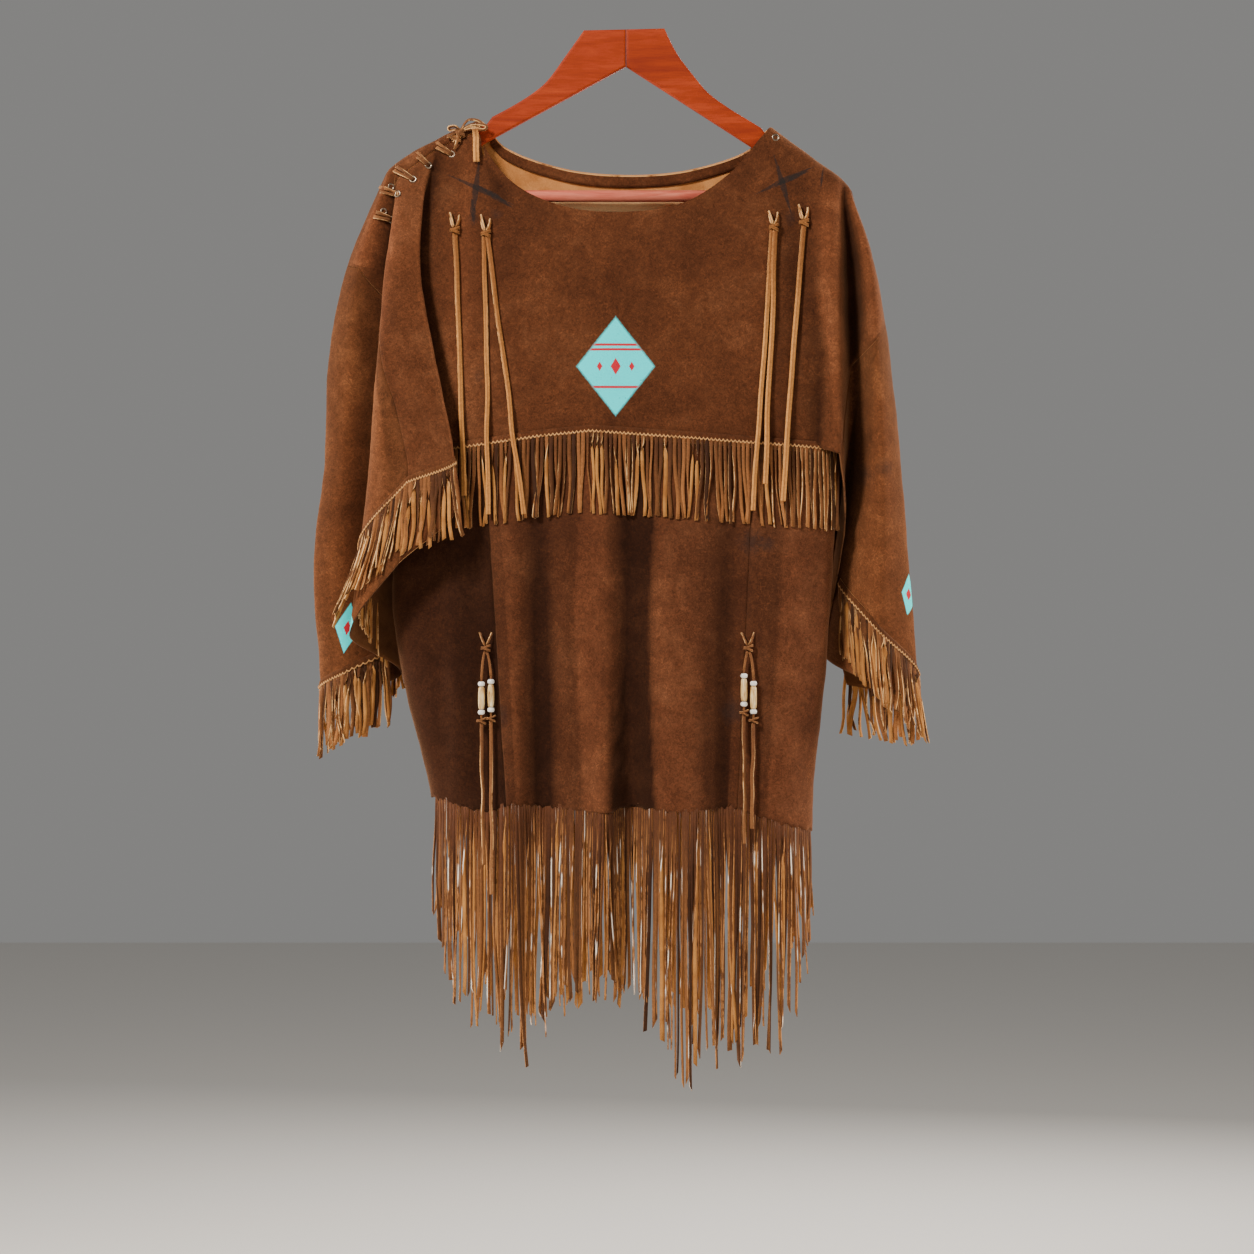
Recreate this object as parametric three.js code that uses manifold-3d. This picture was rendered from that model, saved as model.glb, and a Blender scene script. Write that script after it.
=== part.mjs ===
// A fringed suede dress hung on its wooden hanger, in millimetres, +Z up.
// The origin is the middle of the hanger's top. A viewer in front looks along +Y and sees +X to the right.
import * as THREE from "three";
import { mergeVertices } from "three/addons/utils/BufferGeometryUtils.js";
import Module from "manifold-3d";

const wasm = await Module();
wasm.setup();

// Suede and the way it is sewn
const WALL = 1.6;
const SEAM = 0.3;
const RIDGE_RADIUS = 9;
const SETTLE = 70;
const BEND_FALL = 8;

// Heights of the cape's fold table, below the hanger's top
const LEVELS = [-250, -350, -460, -570, -680];

// The cape's fold lines in front of the left shoulder, from the neck outwards.
// top is where a line leaves the shoulder, as x and z. x and y hold its place at each of LEVELS.
// fringe is the height of the fringe strip, and hem the height of the cloth's edge.
const LEFT_FOLDS = [
  { name: "armhole", top: [-194, -113], fringe: -448, hem: -452,
    x: [-232, -226, -210, -206, -206], y: [-14, -22, -41, -46, -46] },
  { name: "flap_inner", top: [-210, -122], fringe: -466, hem: -505,
    x: [-218, -203, -181, -166, -160], y: [-34, -56, -78, -90, -94] },
  { name: "flap_middle", top: [-226, -130], fringe: -487, hem: -572,
    x: [-238, -234, -228, -238, -252], y: [-38, -60, -78, -84, -80] },
  { name: "flap_outer", top: [-238, -138], fringe: -545, hem: -645,
    x: [-254, -262, -269, -281, -297], y: [-30, -48, -60, -62, -50] },
  { name: "deep_valley", top: [-246, -144], fringe: -655, hem: -690,
    x: [-250, -250, -251, -250, -243], y: [-6, 0, 10, 27, 34] },
  { name: "outer_panel", top: [-252, -149], fringe: -688, hem: -714,
    x: [-283, -296, -301, -307, -303], y: [-14, -14, -12, -8, -4] },
];
const LEFT_EDGE = { name: "left_edge", top: [-256, -154], fringe: -704, hem: -730,
  x: [-297, -317.5, -322, -334, -328], y: [3, 3, 4, 5, 6] };

// The same in front of the right shoulder
const RIGHT_FOLDS = [
  { name: "right_chest", top: [196, -135], fringe: -444, hem: -448.3,
    x: [204, 204, 203, 204, 204], y: [-34, -37, -36, -36, -34] },
  { name: "right_ridge", top: [226, -157], fringe: -450, hem: -456,
    x: [222, 223, 226, 236, 238], y: [-40, -46, -48, -16, -4] },
  { name: "right_valley", top: [232, -162.5], fringe: -572, hem: -668,
    x: [238, 241, 238, 224, 212], y: [-8, -4, 8, 27, 33] },
  { name: "right_sleeve", top: [237, -167.5], fringe: -640, hem: -700,
    x: [258, 266, 272, 270, 264], y: [-34, -42, -38, -28, -18] },
];
const RIGHT_EDGE = { name: "right_edge", top: [241, -173], fringe: -690, hem: -716,
  x: [263, 281, 293, 302, 311], y: [2, 2, 3, 3, 4] };

// Where each shoulder line's partner lies behind: 0 at the armhole, 1 at the sleeve's outer edge
const LEFT_BACK_SHARE = [0, 0.18, 0.36, 0.54, 0.72, 0.88];
const RIGHT_BACK_SHARE = [0, 0.3, 0.58, 0.82];
const BACK_ARMHOLE = { x: [200, 202, 204, 204, 204], y: [20, 24, 30, 34, 36] };
const BACK_BULGE = [12, 18, 20, 20, 18];
const BACK_HEM = { armhole: -449, left: -640, right: -698, rise: 0.15 };
const FRINGE_ABOVE_HEM = 26;

// Neckline in front and behind, as x and z, with the x that the line reaches at the chest
const FRONT_NECK = [
  [-152, -124, -146], [-118, -167, -106], [-62, -192, -56], [0, -197, 0],
  [60, -187.5, 56], [112, -154, 106], [146, -114, 146],
];
const BACK_NECK = [[-130, -124, -130], [-66, -147, -66], [0, -153.5, 0], [66, -148.5, 66], [130, -128, 130]];
const NECK_CORNER = { left: [-157, -97], right: [156, -105], low: 178 };
const NECK_SAG = { front: 14, back: 6, span: 155 };
const BODY_DEPTH = { front: [34, 43, 50, 54, 56], back: [24, 30, 36, 40, 42], side: 230, power: 3 };
const CHEST_LINE = [[-230, -456], [-150, -445], [-95, -437], [-38, -431], [60, -438], [227, -450]];

// Sleeve seams. head is the seam's height at the outer edge, and path gives its place below that:
// the height, and how many fold lines it has moved in from the outer edge.
const SLEEVE_SEAMS = {
  left: { head: -251, front: [[-256, 1], [-300, 2], [-332, 3], [-400, 3.65], [-470, 4], [-572, 4]],
    back: [[-256, 1], [-350, 3], [-449, 6]] },
  right: { head: -305, front: [[-322, 0.5], [-360.3, 2], [-456, 3]], back: [[-322, 0.5], [-449, 4]] },
};
const SEAM_ROWS = 7;
// The back piece laps over the left shoulder: x along the shoulder, and how far down the front it reaches
const EDGE_START = 3;
const EDGE_SPREAD = 3;
const LAP_GAP = 1;
const LAP = [[-157, 13], [-210, 13], [-226, 18], [-246, 23]];
const RIDGE_ROWS = [0.012, 1.2, 4.5, 9];
const PLAIN_LAP = 15;
const HEAD_ROWS = 2;
const SIDE_GAP = 0.8;

// The lower body, as an outline of the section at each of its heights
const SKIRT = [
  { z: -430, left: -224, right: 226, front: 50, back: 36 },
  { z: -560, left: -245, right: 221, front: 54, back: 42 },
  { z: -620, left: -248, right: 217, front: 56, back: 45 },
  { z: -700, left: -236, right: 211, front: 57, back: 48 },
  { z: -829, left: -206, right: 199, front: 56, back: 50 },
  { z: -1080, left: -190, right: 196, front: 50, back: 46 },
];
const SKIRT_SHAPE = { power: 3, sideY: -5, top: -440, hem: -829, foldGrowth: 0.8, foldFade: 0.3 };
const SKIRT_ROWS = 9;
const SKIRT_COLUMNS = { front: 26, back: 16, side: 14 };
const SEAM_U = 0.00028;
const SIDE_TOP = -450;
// Folds: x at the top, x at the hem, half width, and how far the cloth comes forward at the hem
const FRONT_FOLDS = [
  { top: -128, hem: -113, width: 20, push: 11 },
  { top: -92, hem: -90, width: 24, push: -20 },
  { top: -24, hem: -21, width: 20, push: 22 },
  { top: 1, hem: -1, width: 20, push: -22 },
  { top: 60, hem: 58, width: 34, push: 18 },
  { top: 106, hem: 104, width: 20, push: -12 },
  { top: 180, hem: 168, width: 24, push: 6 },
];
const BACK_FOLDS = [
  { top: -120, hem: -110, width: 34, push: 14 },
  { top: -60, hem: -58, width: 30, push: -14 },
  { top: 5, hem: 0, width: 36, push: 16 },
  { top: 66, hem: 60, width: 30, push: -14 },
  { top: 124, hem: 116, width: 32, push: 12 },
];
const FRONT_SEAMS = { left: [-150, -126], right: [136, 118] };
const BACK_SEAMS = { left: [-140, -124], right: [140, 124] };
const HEM_LINE = [
  [-206, -820], [-174, -829], [-148, -835], [-120, -826], [-74, -830], [-20, -836],
  [0, -828], [66, -835], [110, -829], [168, -848], [199, -856],
];

// Fringe
const STRIP_HEIGHT = 10;
const STRIP_GAP = 1.2;
const FRINGE = { wall: 1.4, pitch: 11.4, width: 7, length: 76, lift: 2.4, flare: 1.6, taper: 0.8, uneven: 5 };
const CHEST_FRINGE_LENGTH = 82;
const CHEST_FRINGE = { wall: 1.4, pitch: 12, width: 7.4, lift: 3.2 };
const BACK_FRINGE = { ...CHEST_FRINGE, lift: 2.2 };
const HEM_FRINGE_FRONT = { wall: 1.4, pitch: 9.4, width: 5.8, lift: 0 };
const HEM_FRINGE_BACK = { wall: 1.4, pitch: 10.6, width: 6.6, lift: 0 };
const HEM_TIPS_FRONT = [
  [-206, -950], [-183, -1045], [-143, -1072], [-117, -1108], [-90, -1070], [-47, -1030], [-20, -1034],
  [14, -1050], [44, -1095], [56, -1136], [75, -1122], [97, -1104], [136, -1100], [157, -1106],
  [180, -1045], [199, -930],
];
const HEM_TIPS_BACK = [[-220, -935], [-198, -960], [-120, -1070], [0, -1040], [120, -1085], [199, -940]];

// The hanger: outlines of the two arms in the plane of the garment, then the rail between them
const ARM_DEPTH = 11;
const ARM_BEVEL = 3;
const LEFT_ARM = [
  [0, 0], [-45, -1], [-65, -29], [-87, -58], [-113, -77], [-143, -93.5], [-149, -101.5],
  [-157, -104.5], [-190, -117.5], [-222, -132.5],
  [-229, -140], [-232, -146], [-230, -186], [-222, -193], [-208, -191], [-206, -166], [-152, -122], [0, -39.6],
];
const RIGHT_ARM = [
  [0, 0], [41, 1], [54, -25], [71, -48], [88, -68], [112, -85.6], [144, -105], [149, -111], [193, -140], [216, -155],
  [223, -163], [225, -170], [223, -190], [216, -196], [206, -194], [204, -173], [136, -127], [0, -39.6],
];
const RAIL = { radius: 6.5, z: -178, left: -205, right: 201.5, sides: 16 };

// Thongs on the chest: how far the roots stand off, x and z of the knot, then x and z of each free end
const THONGS = [
  { name: "thong_chest_1", seat: 2.4, knot: [-182, -216], ends: [[-171, -500]] },
  { name: "thong_chest_2", seat: 3.2, knot: [-149, -220], ends: [[-145, -520], [-108, -520]] },
  { name: "thong_chest_3", seat: 2.6, knot: [157, -213], ends: [[134, -516], [147, -488]] },
  { name: "thong_chest_4", seat: 2.7, knot: [189, -208], ends: [[166, -506]] },
];
const THONG = {
  width: 5.2, wall: 1.8, knot: 4.6, knotLift: 5.4, lowLift: 9, clearFrom: -400, clearOver: 40, arm: 15, spread: 5,
  armShare: 0.6, tasselShare: 0.8, points: 6,
};

// Tassels with beads: where they hang, and the two strings of each
const TASSELS = [
  { name: "tassel_left", seat: 3.6, x: -148, top: -647, ends: [[-150, -890], [-142, -921]],
    strings: [{ x: -152.5, z: -699 }, { x: -142.5, z: -696.5 }] },
  { name: "tassel_right", seat: 2.4, x: 129, top: -647, ends: [[125, -868], [133, -852]],
    strings: [{ x: 124.5, z: -690.5 }, { x: 134.5, z: -698.5 }] },
];
const BEAD = { radius: 3.8, bore: 1.6, height: 5.2 };
const HAIRPIPE = { radius: 3.5, bore: 1.6, length: 24, endShare: 0.7 };
const TURNED_SIDES = 10;
const TASSEL = { lift: 8, spread: 6, knotDrop: 25, knot: 5, endKnot: 3.6, string: 2, overBead: 8, underPipe: 9 };

// Lacing of the left shoulder: x along the ridge, then how far above the lap's edge the lace passes
const LACE = { width: 3.4, wall: 1.4, lift: 3.2, endLift: 2.6 };
const LEFT_LACING = [
  [-176, 6], [-186, -8], [-196, 7], [-205, -8], [-216, 7], [-222, -8], [-232, 7], [-236, -8], [-243, 6],
];
const LACE_END = [[-160, -112], [-160, -125], [-160, -142]];
const FACING = { width: 13, drop: 0.8, inside: 1.9, wall: 1.2, columns: 18 };

const COLOURS = {
  suede: 0x5a3320, sleeve: 0x69402a, flesh: 0xbc8b52, fringe: 0x8a5a33, lace: 0xc59a62,
  wood: 0xb9481f, rail: 0xc46a66, bone: 0xe0c88a, bead: 0xf2efe6,
};

// Numbers and curves
const mix = (a, b, f) => a + (b - a) * f;
const clamp = (v, low, high) => Math.min(high, Math.max(low, v));
const smooth = (f) => f * f * (3 - 2 * f);
const wave = (n) => Math.sin(n * 12.9898) * Math.cos(n * 4.1414);

function linear(table, at) {
  const rising = table[1][0] > table[0][0] ? 1 : -1;
  let i = 0;
  while (i < table.length - 2 && (at - table[i + 1][0]) * rising > 0) i++;
  const f = clamp((at - table[i][0]) / (table[i + 1][0] - table[i][0]), 0, 1);
  return mix(table[i][1], table[i + 1][1], f);
}

// Smooth curve through values at falling heights, flat above the first and straight below the last
function drape(heights, values, z) {
  const last = heights.length - 1;
  const slope = (i) => {
    const a = Math.max(i - 1, 0);
    const b = Math.min(i + 1, last);
    return (values[b] - values[a]) / (heights[b] - heights[a]);
  };
  if (z >= heights[0]) return values[0];
  if (z <= heights[last]) return values[last] + slope(last) * (z - heights[last]);
  let i = 0;
  while (z < heights[i + 1]) i++;
  const span = heights[i + 1] - heights[i];
  const f = (z - heights[i]) / span;
  return mix(values[i], values[i + 1], smooth(f))
    + span * (f * (1 - f) * (1 - f) * slope(i) - f * f * (1 - f) * slope(i + 1));
}

// Centripetal Catmull-Rom through four points, from the second to the third
function between(p, f) {
  const knot = [0];
  for (let i = 1; i < 4; i++) {
    const d = Math.hypot(...p[i].map((v, k) => v - p[i - 1][k]));
    knot.push(knot[i - 1] + Math.sqrt(d) + 1e-4);
  }
  const t = mix(knot[1], knot[2], f);
  const lerp = (a, b, ta, tb) => a.map((v, k) => mix(v, b[k], (t - ta) / (tb - ta)));
  const a = [0, 1, 2].map((i) => lerp(p[i], p[i + 1], knot[i], knot[i + 1]));
  const b = [0, 1].map((i) => lerp(a[i], a[i + 1], knot[i], knot[i + 2]));
  return lerp(b[0], b[1], knot[1], knot[2]);
}

const chestLine = (x) => linear(CHEST_LINE, x);
const bodyDepth = (x, depth) => depth * (1 - Math.abs(x / BODY_DEPTH.side) ** BODY_DEPTH.power) ** (1 / BODY_DEPTH.power);

// The cape's lines
function neckLine(name, [x, z, low], side) {
  const front = side < 0;
  const sag = (front ? NECK_SAG.front : NECK_SAG.back) * (1 - (x / NECK_SAG.span) ** 2);
  const depth = front ? BODY_DEPTH.front : BODY_DEPTH.back;
  return {
    name, side, ridge: 0, top: [x, z], topY: side * (RIDGE_RADIUS + sag),
    x: LEVELS.map(() => low),
    y: depth.map((d) => side * bodyDepth(low, d)),
    hem: front ? chestLine(low) : BACK_HEM.armhole, chest: front,
  };
}

function cornerLine(name, top, side) {
  const front = side < 0;
  const low = Math.sign(top[0]) * NECK_CORNER.low;
  const depth = front ? BODY_DEPTH.front : BODY_DEPTH.back;
  return {
    name, side, ridge: 1, top, topY: side * RIDGE_RADIUS,
    x: LEVELS.map(() => low),
    y: depth.map((d) => side * bodyDepth(low, d)),
    hem: front ? chestLine(low) : BACK_HEM.armhole, chest: front,
  };
}

const foldLine = (row, side, ridge) => ({ ...row, side, ridge, topY: side * RIDGE_RADIUS * ridge });

function backLine(front, edge, share, hemInner) {
  const sign = Math.sign(edge.top[0]);
  const hem = share < BACK_HEM.rise
    ? mix(BACK_HEM.armhole, hemInner, share / BACK_HEM.rise)
    : mix(hemInner, edge.hem, (share - BACK_HEM.rise) / (1 - BACK_HEM.rise));
  return {
    name: "back_" + front.name, side: 1, ridge: 1, top: front.top, topY: RIDGE_RADIUS,
    x: LEVELS.map((_, i) => mix(sign * BACK_ARMHOLE.x[i], edge.x[i], share)),
    y: LEVELS.map((_, i) => mix(BACK_ARMHOLE.y[i], edge.y[i], share) + BACK_BULGE[i] * Math.sin(Math.PI * share)),
    fringe: hem + FRINGE_ABOVE_HEM, hem,
  };
}

function capeLines() {
  const leftNeck = FRONT_NECK.slice(0, 4).map((row, i) => neckLine("front_neck_" + i, row, -1)).reverse();
  const rightNeck = FRONT_NECK.slice(4).map((row, i) => neckLine("front_neck_" + (i + 4), row, -1)).reverse();
  const leftBack = LEFT_FOLDS.map((row, i) => backLine(row, LEFT_EDGE, LEFT_BACK_SHARE[i], BACK_HEM.left));
  const rightBack = RIGHT_FOLDS.map((row, i) => backLine(row, RIGHT_EDGE, RIGHT_BACK_SHARE[i], BACK_HEM.right));
  return [
    ...leftNeck,
    cornerLine("neck_left", NECK_CORNER.left, -1),
    ...LEFT_FOLDS.map((row) => foldLine(row, -1, 1)),
    foldLine(LEFT_EDGE, 0, 0),
    ...leftBack.reverse(),
    cornerLine("back_neck_left", NECK_CORNER.left, 1),
    ...BACK_NECK.map((row, i) => neckLine("back_neck_" + i, row, 1)),
    cornerLine("back_neck_right", NECK_CORNER.right, 1),
    ...rightBack,
    foldLine(RIGHT_EDGE, 0, 0),
    ...RIGHT_FOLDS.map((row) => foldLine(row, -1, 1)).reverse(),
    cornerLine("neck_right", NECK_CORNER.right, -1),
    ...rightNeck,
  ];
}

const CAPE = capeLines();
const LINES = CAPE.length;
const line = (i) => CAPE[((i % LINES) + LINES) % LINES];
const lineAt = (name) => CAPE.findIndex((row) => row.name === name);
const rightLineAt = (name) => lineAt(name) - LINES;

function along(t, read) {
  const i = Math.floor(t);
  return between([-1, 0, 1, 2].map((k) => read(line(i + k))), t - i);
}

const straight = (t, read) => mix(read(line(Math.floor(t))), read(line(Math.floor(t) + 1)), t - Math.floor(t));
const onRidge = (row) => row.ridge === 1 || row.side === 0;

// Where a line of the cape starts: straight runs over the shoulders, a smooth curve round the neck
function capeTop(t) {
  const i = Math.floor(t);
  if (onRidge(line(i)) && onRidge(line(i + 1))) {
    return [0, 1].map((k) => straight(t, (row) => row.top[k])).concat(straight(t, (row) => row.topY));
  }
  return along(t, (row) => [...row.top, row.topY]);
}

// How far the cloth bends over the shoulder's ridge, from -1 in front to 1 behind, and hardly at all at the neck
function bendAt(t) {
  const ends = [line(Math.floor(t)), line(Math.floor(t) + 1)];
  const share = straight(t, (row) => row.side * row.ridge);
  return ends.some((row) => row.side !== 0 && row.ridge === 0) ? share ** BEND_FALL : share;
}

function capeBase(t, z) {
  return along(t, (row) => {
    const heights = [row.top[1], ...LEVELS];
    return [drape(heights, [row.top[0], ...row.x], z), drape(heights, [row.topY, ...row.y], z)];
  });
}

// A point of the cape's middle surface
function cape(t, z) {
  const [topX, topZ, topY] = capeTop(t);
  const drop = Math.max(topZ - z, 0);
  const start = capeBase(t, topZ);
  const here = capeBase(t, z);
  const fade = 1 - smooth(clamp(drop / SETTLE, 0, 1));
  const bend = bendAt(t);
  const round = RIDGE_RADIUS - Math.sqrt(Math.max(RIDGE_RADIUS ** 2 - Math.max(RIDGE_RADIUS - drop, 0) ** 2, 0));
  return new THREE.Vector3(
    here[0] + (topX - start[0]) * fade,
    here[1] + (topY - start[1]) * fade - bend * round,
    z,
  );
}

// How far down the lower body a height is, from 0 at its top to 1 at its hem
const belowTop = (z) => clamp((SKIRT_SHAPE.top - z) / (SKIRT_SHAPE.top - SKIRT_SHAPE.hem), 0, 1);

// A point of the lower body: u runs from the left side over the front to the right side, then round the back
function skirt(u, z) {
  const angle = 2 * Math.PI * u;
  const row = skirtSection(z);
  const e = 2 / SKIRT_SHAPE.power;
  const power = (v) => Math.sign(v) * Math.abs(v) ** e;
  const x = row.centre - row.half * power(Math.cos(angle));
  const front = Math.sin(angle) >= 0;
  const roundness = Math.abs(Math.sin(angle)) ** e;
  const grown = belowTop(z);
  const pushed = (front ? FRONT_FOLDS : BACK_FOLDS).reduce((sum, fold) => {
    const off = (x - mix(fold.top, fold.hem, grown)) / fold.width;
    return sum + fold.push * Math.exp(-off * off) * grown ** SKIRT_SHAPE.foldGrowth;
  }, 0);
  const fade = Math.min(1, roundness * 1.5) * Math.min(1, roundness / SKIRT_SHAPE.foldFade);
  const depth = (front ? row.front : row.back) * roundness + pushed * fade;
  return new THREE.Vector3(x, (front ? -depth : depth) + SKIRT_SHAPE.sideY * (1 - roundness), z);
}

function skirtSection(z) {
  const heights = SKIRT.map((row) => row.z);
  const read = (key) => drape(heights, SKIRT.map((row) => row[key]), z);
  const left = read("left");
  const right = read("right");
  return { centre: (left + right) / 2, half: (right - left) / 2, front: read("front"), back: read("back") };
}

// The u at which the lower body has a given x, in front or behind
function skirtU(x, z, front) {
  const row = skirtSection(z);
  const ratio = clamp((row.centre - x) / row.half, -1, 1);
  const cosine = Math.sign(ratio) * Math.abs(ratio) ** (SKIRT_SHAPE.power / 2);
  const u = Math.acos(cosine) / (2 * Math.PI);
  return front ? u : 1 - u;
}

// Outward normal of a surface given as a function of a running parameter and the height
const NORMAL_STEP = { cape: 0.01, skirt: 0.0005 };
function normalOf(surface, outward, t, z, step) {
  const across = surface(t + step, z).sub(surface(t - step, z));
  const up = surface(t, z + 0.02).sub(surface(t, z - 0.1));
  return across.cross(up).multiplyScalar(outward).normalize();
}

const onCape = (t, z, lift = 0) => {
  const normal = normalOf(cape, -1, t, z, NORMAL_STEP.cape);
  return { point: cape(t, z).addScaledVector(normal, lift), normal };
};
// A point beside a seam, with the normal of the seam itself
const besideSeam = ({ t, z, normalT = t }) => ({ point: cape(t, z), normal: onCape(normalT, z).normal });
const onSkirt = (u, z, lift = 0) => {
  const normal = normalOf(skirt, 1, u, z, NORMAL_STEP.skirt);
  return { point: skirt(u, z).addScaledVector(normal, lift), normal };
};

// A wall with a given thickness from a lattice of surface points, with cells left out where present says so
function wall(columns, rows, at, thickness, present = () => true) {
  const vertices = [];
  const triangles = [];
  const index = new Map();
  const vertex = (i, j, face) => {
    const key = (i * (rows + 1) + j) * 2 + (face > 0 ? 1 : 0);
    if (!index.has(key)) {
      const { point, normal } = at(i, j);
      const p = point.clone().addScaledVector(normal, (face * thickness) / 2);
      index.set(key, vertices.length / 3);
      vertices.push(p.x, p.y, p.z);
    }
    return index.get(key);
  };
  const quad = (a, b, c, d) => triangles.push(a, b, c, a, c, d);
  const there = (i, j) => i >= 0 && j >= 0 && i < columns && j < rows && present(i, j);
  for (let i = 0; i < columns; i++) {
    for (let j = 0; j < rows; j++) {
      if (!there(i, j)) continue;
      const outer = [[i, j], [i + 1, j], [i + 1, j + 1], [i, j + 1]].map(([a, b]) => vertex(a, b, 1));
      const inner = [[i, j], [i + 1, j], [i + 1, j + 1], [i, j + 1]].map(([a, b]) => vertex(a, b, -1));
      quad(outer[0], outer[1], outer[2], outer[3]);
      quad(inner[3], inner[2], inner[1], inner[0]);
      const beside = [there(i, j - 1), there(i + 1, j), there(i, j + 1), there(i - 1, j)];
      beside.forEach((covered, k) => {
        const next = (k + 1) % 4;
        if (!covered) quad(outer[next], outer[k], inner[k], inner[next]);
      });
    }
  }
  const geometry = new THREE.BufferGeometry();
  geometry.setAttribute("position", new THREE.Float32BufferAttribute(vertices, 3));
  geometry.setIndex(triangles);
  return facingOut(geometry);
}

function facingOut(geometry) {
  const p = geometry.getAttribute("position");
  const order = geometry.index.array;
  const corner = (i) => new THREE.Vector3().fromBufferAttribute(p, order[i]);
  let volume = 0;
  for (let i = 0; i < order.length; i += 3) volume += corner(i).dot(corner(i + 1).cross(corner(i + 2)));
  if (volume < 0) {
    for (let i = 0; i < order.length; i += 3) [order[i + 1], order[i + 2]] = [order[i + 2], order[i + 1]];
  }
  return geometry;
}

// Joining closed pieces
function toSolid(geometry) {
  const bare = new THREE.BufferGeometry().setAttribute("position", geometry.getAttribute("position"));
  if (geometry.index) bare.setIndex(geometry.index);
  const merged = mergeVertices(bare, 1e-4);
  return new wasm.Manifold(new wasm.Mesh({
    numProp: 3,
    vertProperties: new Float32Array(merged.attributes.position.array),
    triVerts: new Uint32Array(merged.index.array),
  }));
}

function joined(pieces) {
  const mesh = pieces.map(toSolid).reduce((all, piece) => all.add(piece)).getMesh();
  const geometry = new THREE.BufferGeometry();
  geometry.setAttribute("position", new THREE.BufferAttribute(new Float32Array(mesh.vertProperties), 3));
  geometry.setIndex(new THREE.BufferAttribute(new Uint32Array(mesh.triVerts), 1));
  return geometry;
}

// Evenly spaced strands along a line on a surface, as pairs of the running parameter
function strandPairs(surface, heightAt, from, to, pitch, width) {
  const steps = 600;
  const reach = [0];
  const value = (k) => mix(from, to, k / steps);
  for (let k = 1; k <= steps; k++) {
    const a = surface(value(k - 1), heightAt(value(k - 1)));
    reach.push(reach[k - 1] + a.distanceTo(surface(value(k), heightAt(value(k)))));
  }
  const find = (length) => {
    const k = clamp(reach.findIndex((r) => r >= length), 1, steps);
    return mix(value(k - 1), value(k), clamp((length - reach[k - 1]) / (reach[k] - reach[k - 1]), 0, 1));
  };
  const count = Math.floor((reach[steps] - width) / pitch) + 1;
  const margin = (reach[steps] - width - (count - 1) * pitch) / 2;
  return Array.from({ length: count }, (_, i) => {
    const start = margin + i * pitch;
    return [find(start), find(start + width)];
  });
}

// A comb of strands cut from one strip. heightAt is the strip's middle, tipAt the end of a strand.
function fringe(onSurface, pairs, heightAt, tipAt, wallSize, lift) {
  const values = pairs.flat();
  return wall(values.length - 1, 2, (i, j) => {
    if (j < 2) return onSurface(values[i], heightAt(values[i]) + (j ? -0.5 : 0.5) * STRIP_HEIGHT, lift);
    const strand = Math.floor(i / 2);
    const middle = (pairs[strand][0] + pairs[strand][1]) / 2;
    const t = middle + (values[i] - middle) * FRINGE.taper;
    const z = tipAt(middle) + FRINGE.uneven * wave(strand + 1);
    return onSurface(t, z, lift + FRINGE.flare * (0.5 + 0.5 * wave(strand * 3 + 2)));
  }, wallSize, (i, j) => j === 0 || i % 2 === 0);
}

const group = new THREE.Group();
function add(name, geometry, colour, roughness = 0.95) {
  const mesh = new THREE.Mesh(geometry, new THREE.MeshStandardMaterial({ color: colour, roughness }));
  mesh.name = name;
  group.add(mesh);
}

// The hanger
function hangerArm(outline, side) {
  const shape = new THREE.Shape();
  outline.forEach(([x, z], i) => {
    const away = Math.abs(x) < 1 ? (side * SEAM) / 2 : x;
    if (i) shape.lineTo(away, z);
    else shape.moveTo(away, z);
  });
  const geometry = new THREE.ExtrudeGeometry(shape, {
    depth: ARM_DEPTH - 2 * ARM_BEVEL, bevelThickness: ARM_BEVEL, bevelSize: ARM_BEVEL, bevelOffset: -ARM_BEVEL,
    bevelSegments: 2,
  });
  geometry.translate(0, 0, ARM_BEVEL - ARM_DEPTH / 2);
  geometry.rotateX(Math.PI / 2);
  return geometry;
}

add("hanger_arm_left", hangerArm(LEFT_ARM, -1), COLOURS.wood, 0.35);
add("hanger_arm_right", hangerArm(RIGHT_ARM, 1), COLOURS.wood, 0.35);

const rail = new THREE.CylinderGeometry(RAIL.radius, RAIL.radius, RAIL.right - RAIL.left, RAIL.sides);
rail.rotateZ(Math.PI / 2);
rail.translate((RAIL.left + RAIL.right) / 2, 0, RAIL.z);
add("trouser_rail", rail, COLOURS.rail, 0.6);

// The cape: front and back cut to the sleeve seams, and a sleeve on each side
const chested = (t) => line(Math.floor(t)).chest && line(Math.floor(t) + 1).chest;
const hemAt = (t) => (chested(t) ? chestLine(cape(t, SKIRT_SHAPE.top).x) : straight(t, (row) => row.hem));
const fringeAt = (t) => straight(t, (row) => row.fringe);

const LEFT = { edge: lineAt("left_edge"), seam: SLEEVE_SEAMS.left, sign: -1 };
const RIGHT = { edge: rightLineAt("right_edge"), seam: SLEEVE_SEAMS.right, sign: 1 };
const RIGHT_BEHIND = { ...RIGHT, edge: lineAt("right_edge") };

// A place on a sleeve's seam, in front or behind, from its top at 0 to the cloth's edge at 1
function seamPlace(shoulder, face, v) {
  const path = shoulder.seam[face];
  const z = mix(path[0][0], path[path.length - 1][0], v);
  const inwards = face === "front" ? shoulder.sign : -shoulder.sign;
  return { t: shoulder.edge + inwards * linear(path, z), z };
}

// A step along the cape's lines that is as long as the gap between two pieces
function gapAt(t, inwards, z) {
  const step = 0.04 * inwards;
  return (SIDE_GAP * step) / cape(t, z).distanceTo(cape(t + step, z));
}

const LAST_ROW = RIDGE_ROWS.length + HEAD_ROWS + 1 + SEAM_ROWS;

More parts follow.
